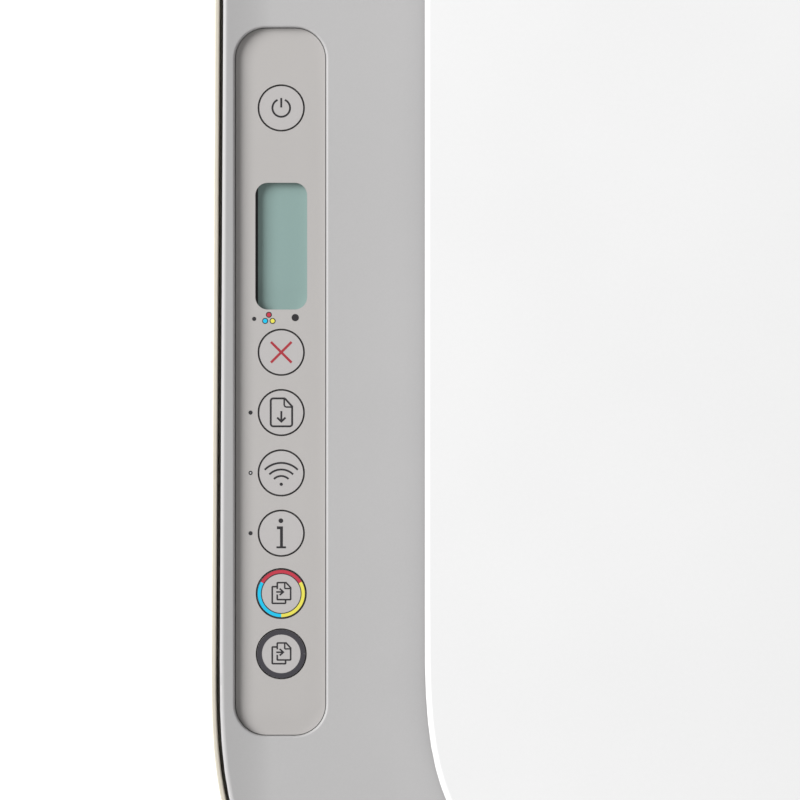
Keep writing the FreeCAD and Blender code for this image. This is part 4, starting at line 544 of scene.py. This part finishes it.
def add_prism(shape: bmesh.types.BMesh, ring: list[Point], low: float, high: float) -> None:
    """Add an upright prism to a bmesh.

    Args:
        shape: Where it goes.
        ring: Plan outline in metres, counter-clockwise.
        low: Height of its underside.
        high: Height of its top.
    """
    bottom = [shape.verts.new((x, y, low)) for x, y in ring]
    top = [shape.verts.new((x, y, high)) for x, y in ring]
    shape.faces.new(list(reversed(bottom)))
    shape.faces.new(top)
    for i in range(len(ring)):
        j = (i + 1) % len(ring)
        shape.faces.new((bottom[i], bottom[j], top[j], top[i]))


def add_band(shape: bmesh.types.BMesh, path: list[Point], width: float, low: float, high: float,
             closed: bool = False) -> None:
    """Add a printed line of even width along a path.

    Args:
        shape: Where it goes.
        path: Points of its middle, in metres.
        width: Width of the line.
        low: Height of its underside.
        high: Height of its top.
        closed: Whether the path ends where it starts.
    """
    count = len(path)
    left: list[Point] = []
    right: list[Point] = []
    for i, here in enumerate(path):
        before = path[i - 1] if closed or i > 0 else here
        after = path[(i + 1) % count] if closed or i < count - 1 else here
        into = Vector((here[0] - before[0], here[1] - before[1]))
        out = Vector((after[0] - here[0], after[1] - here[1]))
        into = into.normalized() if into.length > 0 else out.normalized()
        out = out.normalized() if out.length > 0 else into
        along = (into + out).normalized()
        across = Vector((-along.y, along.x))
        reach = width / 2 / max(0.5, along.dot(out))
        left.append((here[0] + across.x * reach, here[1] + across.y * reach))
        right.append((here[0] - across.x * reach, here[1] - across.y * reach))
    spans = count if closed else count - 1
    rows = [[shape.verts.new((x, y, z)) for x, y in side]
            for side in (left, right) for z in (low, high)]
    left_low, left_high, right_low, right_high = rows
    for i in range(spans):
        j = (i + 1) % count
        shape.faces.new((left_high[i], right_high[i], right_high[j], left_high[j]))
        shape.faces.new((left_low[i], left_low[j], right_low[j], right_low[i]))
        shape.faces.new((left_low[i], left_high[i], left_high[j], left_low[j]))
        shape.faces.new((right_low[i], right_low[j], right_high[j], right_high[i]))
    if not closed:
        for i in (0, count - 1):
            shape.faces.new((left_low[i], right_low[i], right_high[i], left_high[i]))


def arc(centre: Point, radius: float, start: float, end: float, steps: int = 24) -> list[Point]:
    """Points of an arc.

    Args:
        centre: Its centre.
        radius: Its radius.
        start: First angle in degrees.
        end: Last angle in degrees.
        steps: How many runs it is drawn with.

    Returns:
        The points from start to end.
    """
    angles = [math.radians(start + (end - start) * i / steps) for i in range(steps + 1)]
    return [(centre[0] + radius * math.cos(a), centre[1] + radius * math.sin(a)) for a in angles]


def rounded(x0: float, x1: float, y0: float, y1: float, radius: float) -> list[Point]:
    """Plan outline of a rounded rectangle, counter-clockwise."""
    corners = ((x1 - radius, y0 + radius, -90), (x1 - radius, y1 - radius, 0),
               (x0 + radius, y1 - radius, 90), (x0 + radius, y0 + radius, 180))
    ring: list[Point] = []
    for x, y, start in corners:
        ring += arc((x, y), radius, start, start + 90, 8)
    return ring


class Symbol(Enum):
    """The mark printed on a key."""

    POWER = "power_key"
    CANCEL = "cancel_key"
    RESUME = "resume_key"
    WIRELESS = "wireless_key"
    INFORMATION = "information_key"
    COLOUR_COPY = "colour_copy_key"
    BLACK_COPY = "black_copy_key"


@dataclass
class KeyMark:
    """Printed symbol of one key, drawn in millimetres about the key's centre."""

    symbol: Symbol
    line: float = 0.42
    ink: float = 0.012
    lift: float = 0.004
    step: float = 0.002

    def centre(self) -> tuple[float, float, float]:
        """Middle of the key's face, in metres."""
        low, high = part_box(self.symbol.value)
        return ((low.x + high.x) / 2, (low.y + high.y) / 2, high.z)

    def place(self, points: list[Point]) -> list[Point]:
        """Carry millimetre points to the key.

        Args:
            points: Points about the key's centre, in millimetres.

        Returns:
            The points in metres in the row frame.
        """
        x, y, _ = self.centre()
        return [(x + px * MM, y + py * MM) for px, py in points]

    def lines(self) -> list[Stroke]:
        """Strokes of the symbol.

        Returns:
            For each stroke its points, its width and whether it is closed.
        """
        w = self.line
        drawings = {
            Symbol.POWER: lambda: [(arc((0, 0), 1.94, 114, 426, 40), w, False),
                                   ([(0, 0.1), (0, 2.2)], w, False)],
            Symbol.CANCEL: lambda: [([(-2.27, -2.27), (2.27, 2.27)], 0.54, False),
                                    ([(-2.27, 2.27), (2.27, -2.27)], 0.54, False)],
            Symbol.RESUME: self._page,
            Symbol.WIRELESS: lambda: [(arc((0, -2.95), r, 45, 135, 20), 0.42, False)
                                      for r in (2.27, 3.70, 5.15)],
            Symbol.INFORMATION: lambda: [([(-0.95, 1.2), (0.05, 1.2), (0.05, -3.1)], 0.62, False),
                                         ([(-1.05, -3.1), (1.05, -3.1)], 0.42, False)],
            Symbol.COLOUR_COPY: self._two_pages,
            Symbol.BLACK_COPY: self._two_pages,
        }
        return drawings[self.symbol]()

    def _page(self) -> list[Stroke]:
        """Page with a turned corner and an arrow that points down.

        Returns:
            The strokes.
        """
        w = self.line
        left, right, top, bottom, r = -2.31, 2.40, 3.12, -3.02, 0.55
        outline = [(0.79, top)] + arc((left + r, top - r), r, 90, 180, 6)
        outline += arc((left + r, bottom + r), r, 180, 270, 6)
        outline += arc((right - r, bottom + r), r, 270, 360, 6) + [(right, 1.35)]
        fold = [(0.65, top)] + arc((0.65 + r, 1.22 + r), r, 180, 270, 6) + [(right, 1.22)]
        return [(outline + [(0.79, top)], w, False),
                (fold, w * 0.8, False),
                ([(0.02, 0.33), (0.02, -1.9)], w, False),
                ([(-0.9, -1.09), (0.02, -1.98), (0.94, -1.09)], w, False)]

    def _two_pages(self) -> list[Stroke]:
        """Two overlapping pages with a short arrow between them.

        Returns:
            The strokes.
        """
        w = 0.35
        front = [(-0.88, 0.99), (-0.88, 2.3), (-0.78, 2.4), (1.06, 2.4), (2.07, 1.3), (2.07, -1.24),
                 (1.97, -1.34), (-0.78, -1.34), (-0.88, -1.24), (-0.88, -0.2)]
        fold = [(0.77, 2.4), (0.77, 1.2), (0.87, 1.1), (2.07, 1.1)]
        back = [(-0.88, 1.52), (-1.88, 1.52), (-1.98, 1.42), (-1.98, -2.06), (-1.88, -2.16),
                (0.85, -2.16), (0.95, -2.06), (0.95, -1.34)]
        return [(front, w, False), (fold, w * 0.9, False), (back, w, False),
                ([(-1.1, 0.35), (0.46, 0.35)], w, False),
                ([(-0.35, 1.1), (0.46, 0.35), (-0.35, -0.35)], w, False)]

    def dots(self) -> list[tuple[Point, float]]:
        """Round dots of the symbol, as centre and radius in millimetres."""
        if self.symbol is Symbol.WIRELESS:
            return [((0.0, -2.5), 0.36)]
        if self.symbol is Symbol.INFORMATION:
            return [((-0.08, 2.75), 0.52)]
        return []

    def build(self) -> bpy.types.Object:
        """Make the symbol and hang it on its key.

        Returns:
            The printed symbol.
        """
        finish = RED_INK if self.symbol is Symbol.CANCEL else DARK_INK
        name = self.symbol.value.replace("_key", "_symbol")
        piece, shape = new_piece(name, self.symbol.value, finish)
        _, _, top = self.centre()
        low, high = top + self.lift * MM, top + (self.lift + self.ink) * MM
        # Each stroke lies a little over the one before, so crossing strokes share no plane.
        for number, (points, width, closed) in enumerate(self.lines()):
            rise = number * self.step * MM
            add_band(shape, self.place(points), width * MM, low, high + rise, closed)
        for spot, radius in self.dots():
            add_prism(shape, self.place(arc(spot, radius, 0, 345, 23)), low, high)
        return finish_piece(piece, shape)


@dataclass
class KeyRing:
    """Ring round the face of a key, in one or more colours: printed ink, or a thin dark line of painted
    shade at the key's edge.
    """

    key: str
    inner: float
    outer: float
    parts: tuple[tuple[str, Finish, float, float], ...]
    lift: float = 0.004
    ink: float = 0.012

    def build(self) -> list[bpy.types.Object]:
        """Make each coloured part of the ring.

        Returns:
            The ring's pieces.
        """
        low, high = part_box(self.key)
        x, y = (low.x + high.x) / 2, (low.y + high.y) / 2
        made = []
        for name, finish, start, end in self.parts:
            piece, shape = new_piece(f"{self.key}_{name}", self.key, finish)
            middle = (self.inner + self.outer) / 2 * MM
            add_band(shape, arc((x, y), middle, start, end, 48), (self.outer - self.inner) * MM,
                     high.z + self.lift * MM, high.z + (self.lift + self.ink) * MM)
            made.append(finish_piece(piece, shape))
        return made


def key_rings() -> list[KeyRing]:
    """List the rings: three colours and a charcoal one printed on the copy keys, and a thin dark line at
    the edge of the colour copy key and of each other key, painted shade of the gap round the key.

    Returns:
        The rings, with their radii in millimetres.
    """
    thirds = (("ring_red", RING_RED, 30.0, 150.0), ("ring_cyan", RING_CYAN, 150.0, 270.0),
              ("ring_yellow", RING_YELLOW, 270.0, 390.0))
    # Thin dark line just inside the edge of a key's face: painted shade of the gap between the key and
    # the panel.
    gap_shade = (("painted_gap_shade", DARK_INK, 0.0, 360.0),)
    rings = [KeyRing(Symbol.COLOUR_COPY.value, 4.48, 5.20, thirds),
             KeyRing(Symbol.COLOUR_COPY.value, 4.28, 4.48, (("ring_line", DARK_INK, 0.0, 360.0),)),
             KeyRing(Symbol.COLOUR_COPY.value, 5.20, 5.33, gap_shade),
             KeyRing(Symbol.BLACK_COPY.value, 4.25, 5.33, (("ring_dark", RING_DARK, 0.0, 360.0),))]
    plain = [symbol for symbol in Symbol if symbol not in (Symbol.COLOUR_COPY, Symbol.BLACK_COPY)]
    return rings + [KeyRing(symbol.value, 4.82, 4.91, gap_shade) for symbol in plain]


@dataclass
class PanelPrint:
    """Printed dots, lamp lenses and the display face of the key strip, in millimetres.

    Attributes:
        dot: Radius of a coloured ink dot.
        dot_edge: Width of the dark line round it.
        black_dot: Radius of the black ink dot.
        black_place: Its centre from the key column and the display's lower end.
        lens: Radius of a lamp lens.
        lamp_reach: Lamps from the middle of the key beside them, to the left.
        alert_place: Ink lamp from the middle of the cancel key.
        display_frame: What the panel hides of the display's frame at its end.
        ink: Thickness of the ink.
        lift: Air between the panel and a print, so that they share no plane.
    """

    dot: float = 0.46
    dot_edge: float = 0.20
    black_dot: float = 0.80
    black_place: Point = (3.08, -1.77)
    lens: float = 0.44
    lamp_reach: float = 6.75
    alert_place: Point = (-5.95, 7.35)
    display_frame: float = 1.0
    ink: float = 0.012
    lift: float = 0.004

    def _disc(self, name: str, finish: Finish, spot: tuple[float, float, float], radius: float,
              thick: float) -> bpy.types.Object:
        """Make a flat round piece on the panel.

        Args:
            name: The piece's name.
            finish: Its surface.
            spot: Centre of its underside in metres.
            radius: Its radius in millimetres.
            thick: Its thickness in millimetres.

        Returns:
            The disc.
        """
        piece, shape = new_piece(name, "housing", finish)
        add_prism(shape, arc(spot[:2], radius * MM, 0, 352.5, 47), spot[2], spot[2] + thick * MM)
        return finish_piece(piece, shape)

    def build(self) -> None:
        """Make the dots, lenses and display."""
        _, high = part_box("control_panel")
        face = high.z + self.lift * MM
        key_low, key_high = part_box("power_key")
        column = (key_low.x + key_high.x) / 2
        display_low, display_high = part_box("display_module")
        foot = display_low.y + self.display_frame * MM
        dots = (("ink_dot_red", RING_RED, -2.72, -1.15), ("ink_dot_cyan", RING_CYAN, -3.54, -2.5),
                ("ink_dot_yellow", RING_YELLOW, -1.90, -2.5))
        for name, finish, dx, dy in dots:
            spot = (column + dx * MM, foot + dy * MM)
            self._disc(name + "_edge", DARK_INK, (*spot, face), self.dot + self.dot_edge, self.ink)
            self._disc(name, finish, (*spot, face + self.ink * MM * 1.5), self.dot, self.ink)
        across, along = self.black_place
        self._disc("ink_dot_black", DARK_INK, (column + across * MM, foot + along * MM, face),
                   self.black_dot, self.ink)
        self._lenses()
        self._display(display_low, display_high)

    def _lenses(self) -> None:
        """Cap each lamp with a small lens."""
        _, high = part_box("control_panel")
        beside = (-self.lamp_reach, 0.0)
        for name, key, (dx, dy) in (("resume", "resume_key", beside),
                                    ("wireless", "wireless_key", beside),
                                    ("information", "information_key", beside),
                                    ("ink_alert", "cancel_key", self.alert_place)):
            low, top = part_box(key)
            spot = ((low.x + top.x) / 2 + dx * MM, (low.y + top.y) / 2 + dy * MM)
            self._disc(f"{name}_lamp_lens", LAMP_LENS, (*spot, high.z - 0.03 * MM), self.lens, 0.04)
            if name == "wireless":
                self._disc(f"{name}_lamp_core", LAMP_RIM, (*spot, high.z + 0.012 * MM),
                           self.lens * 0.4, 0.01)

    def _display(self, low: Vector, high: Vector) -> None:
        """Lay the display glass on its frame, short of the frame's left end, so that a strip of the
        black frame shows there as painted shade.

        Args:
            low: Low corner of the display module.
            high: High corner of the display module.
        """
        piece, shape = new_piece("display_glass", "housing", DISPLAY_GLASS)
        # The glass stops 2.6 mm short of the frame's left end and 1.2 mm short of its right end: the
        # strip of black frame left showing along the window's left edge is painted shade where the
        # window's left wall casts its shadow.
        left, right, ends = 2.6 * MM, 1.2 * MM, 0.5 * MM
        add_prism(shape, rounded(low.x + left, high.x - right, low.y + ends, high.y - ends, 1.6 * MM),
                  high.z + 0.002 * MM, high.z + 0.05 * MM)
        finish_piece(piece, shape)


@dataclass
class LidBacking:
    """White film over a foam board under the lid."""

    corner: float = 5.0
    edge: float = 0.8

    def build(self) -> bpy.types.Object:
        """Make the board with soft edges in the space of its solid.

        Returns:
            The padded piece.
        """
        low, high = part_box("lid_pad")
        piece, shape = new_piece("lid_backing_board", "lid", FOAM_SHEET)
        add_prism(shape, rounded(low.x, high.x, low.y, high.y, self.corner * MM), low.z, high.z)
        flat = [e for e in shape.edges if abs(e.verts[0].co.z - e.verts[1].co.z) < 1e-6
                and len(e.link_faces) == 2]
        bmesh.ops.bevel(shape, geom=flat, offset=self.edge * MM, segments=3, affect="EDGES")
        finish_piece(piece, shape)
        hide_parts("lid_pad")
        return piece


@dataclass
class CartridgeLabels:
    """Colour labels on the fronts of the two cartridges, in millimetres.

    Attributes:
        width: Width of a whole label.
        height: Height of a label.
        gap: Space between the three parts of the colour label.
        thick: Thickness of the paper.
        corner: Radius of the corners.
        below_top: Top edge below the cartridge's top.
        behind_front: Face of the cartridge behind its foremost point.
    """

    width: float = 18.0
    height: float = 10.0
    gap: float = 0.6
    thick: float = 0.15
    corner: float = 0.8
    below_top: float = 14.0
    behind_front: float = 2.5

    def _panel(self, name: str, node: str, finish: Finish, x0: float, x1: float) -> None:
        """Stick one label on a cartridge.

        Args:
            name: The piece's name.
            node: The cartridge.
            finish: The label's surface.
            x0: Left edge from the cartridge's middle, in millimetres.
            x1: Right edge from the cartridge's middle, in millimetres.
        """
        low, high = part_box(node)
        middle = (low.x + high.x) / 2
        front = low.y + self.behind_front * MM
        top = high.z - self.below_top * MM
        piece, shape = new_piece(name, node, finish)
        ring = rounded(middle + x0 * MM, middle + x1 * MM, top - self.height * MM, top,
                       self.corner * MM)
        near = [shape.verts.new((x, front - self.thick * MM, z)) for x, z in ring]
        far = [shape.verts.new((x, front, z)) for x, z in ring]
        shape.faces.new(near)
        shape.faces.new(list(reversed(far)))
        for i in range(len(ring)):
            j = (i + 1) % len(ring)
            shape.faces.new((near[i], far[i], far[j], near[j]))
        finish_piece(piece, shape)

    def build(self) -> None:
        """Label both cartridges."""
        half = self.width / 2
        self._panel("black_cartridge_label", "black_cartridge", LABEL_WHITE, -half, half)
        part = (self.width - 2 * self.gap) / 3
        for number, (ink, finish) in enumerate((("cyan", LABEL_CYAN), ("magenta", LABEL_MAGENTA),
                                                ("yellow", LABEL_YELLOW))):
            left = -half + number * (part + self.gap)
            self._panel(f"colour_cartridge_label_{ink}", "colour_cartridge", finish, left, left + part)


@dataclass
class Studio:
    """White floor, soft lights and the camera straight above the key strip.

    Attributes:
        view_width: Width that the camera sees at the key panel, in metres.
        height: Camera above the key panel, in metres.
        focus: Plan place that the camera looks at.
        floor_half: Half the floor's width in metres.
        room: Brightness of the white room.
    """

    view_width: float = 0.176
    height: float = 6.0
    focus: Point = (-0.17087, -0.02765)
    floor_half: float = 4.0
    room: float = 0.32

    def build(self) -> None:
        """Set the floor, the lights, the surroundings and the camera."""
        bpy.context.scene.view_settings.view_transform = "Standard"
        self._floor()
        self._lights()
        self._camera()

    def _floor(self) -> None:
        """Lay a plain white floor at the level of the feet."""
        mesh = bpy.data.meshes.new("floor")
        floor = bpy.data.objects.new("floor", mesh)
        bpy.context.scene.collection.objects.link(floor)
        shape = bmesh.new()
        bmesh.ops.create_grid(shape, x_segments=1, y_segments=1, size=self.floor_half)
        shape.to_mesh(mesh)
        shape.free()
        floor.location.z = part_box("rubber_feet")[0].z
        mesh.materials.append(FLOOR_PAPER.make())

    def _light(self, name: str, place: tuple[float, float, float], size: float, power: float) -> None:
        """Add one soft square light that faces the printer.

        Args:
            name: Its name.
            place: Where it stands.
            size: Edge length.
            power: Strength in watts.
        """
        data = bpy.data.lights.new(name, "AREA")
        data.size = size
        data.energy = power
        lamp = bpy.data.objects.new(name, data)
        bpy.context.scene.collection.objects.link(lamp)
        lamp.location = place
        lamp.rotation_euler = (Vector((0, 0, 0.1)) - Vector(place)).to_track_quat("-Z", "Y").to_euler()

    def _lights(self) -> None:
        """Key light from the left and slightly behind, a low fill from the front and a white room."""
        self._light("key_light", (-2.6, 0.9, 2.1), 1.8, 160.0)
        self._light("front_fill", (0.7, -3.1, 0.62), 2.2, 38.0)
        world = bpy.data.worlds.new("white_room")
        bpy.context.scene.world = world
        world.use_nodes = True
        background = world.node_tree.nodes["Background"]
        background.inputs["Color"].default_value = linear("FFFFFF")
        background.inputs["Strength"].default_value = self.room

    def _camera(self) -> None:
        """Hang a long-lens camera straight above the key strip."""
        data = bpy.data.cameras.new("camera")
        camera = bpy.data.objects.new("camera", data)
        bpy.context.scene.collection.objects.link(camera)
        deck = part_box("control_panel")[1].z
        camera.location = (self.focus[0], self.focus[1], deck + self.height)
        data.sensor_width = 36.0
        data.lens = data.sensor_width * self.height / self.view_width
        data.clip_end = 200.0
        bpy.context.scene.camera = camera


def write_sizes() -> None:
    """Define a helper that turns a pair of corners into plain lists; nothing is written."""
    def plain(box: tuple) -> list:
        """Turn a pair of corners into plain lists."""
        return [[round(float(v), 6) for v in corner] for corner in box]


def main() -> None:
    """Dress the nodes, build the extra pieces and set the studio."""
    logging.basicConfig(level=logging.INFO, format="%(message)s")
    Studio().build()
    LOG.info("dressed %d nodes", NodeFinishes().dress())
    for symbol in Symbol:
        KeyMark(symbol).build()
    for ring in key_rings():
        ring.build()
    PanelPrint().build()
    LidBacking().build()
    CartridgeLabels().build()
    write_sizes()


if __name__ == "__main__":
    main()
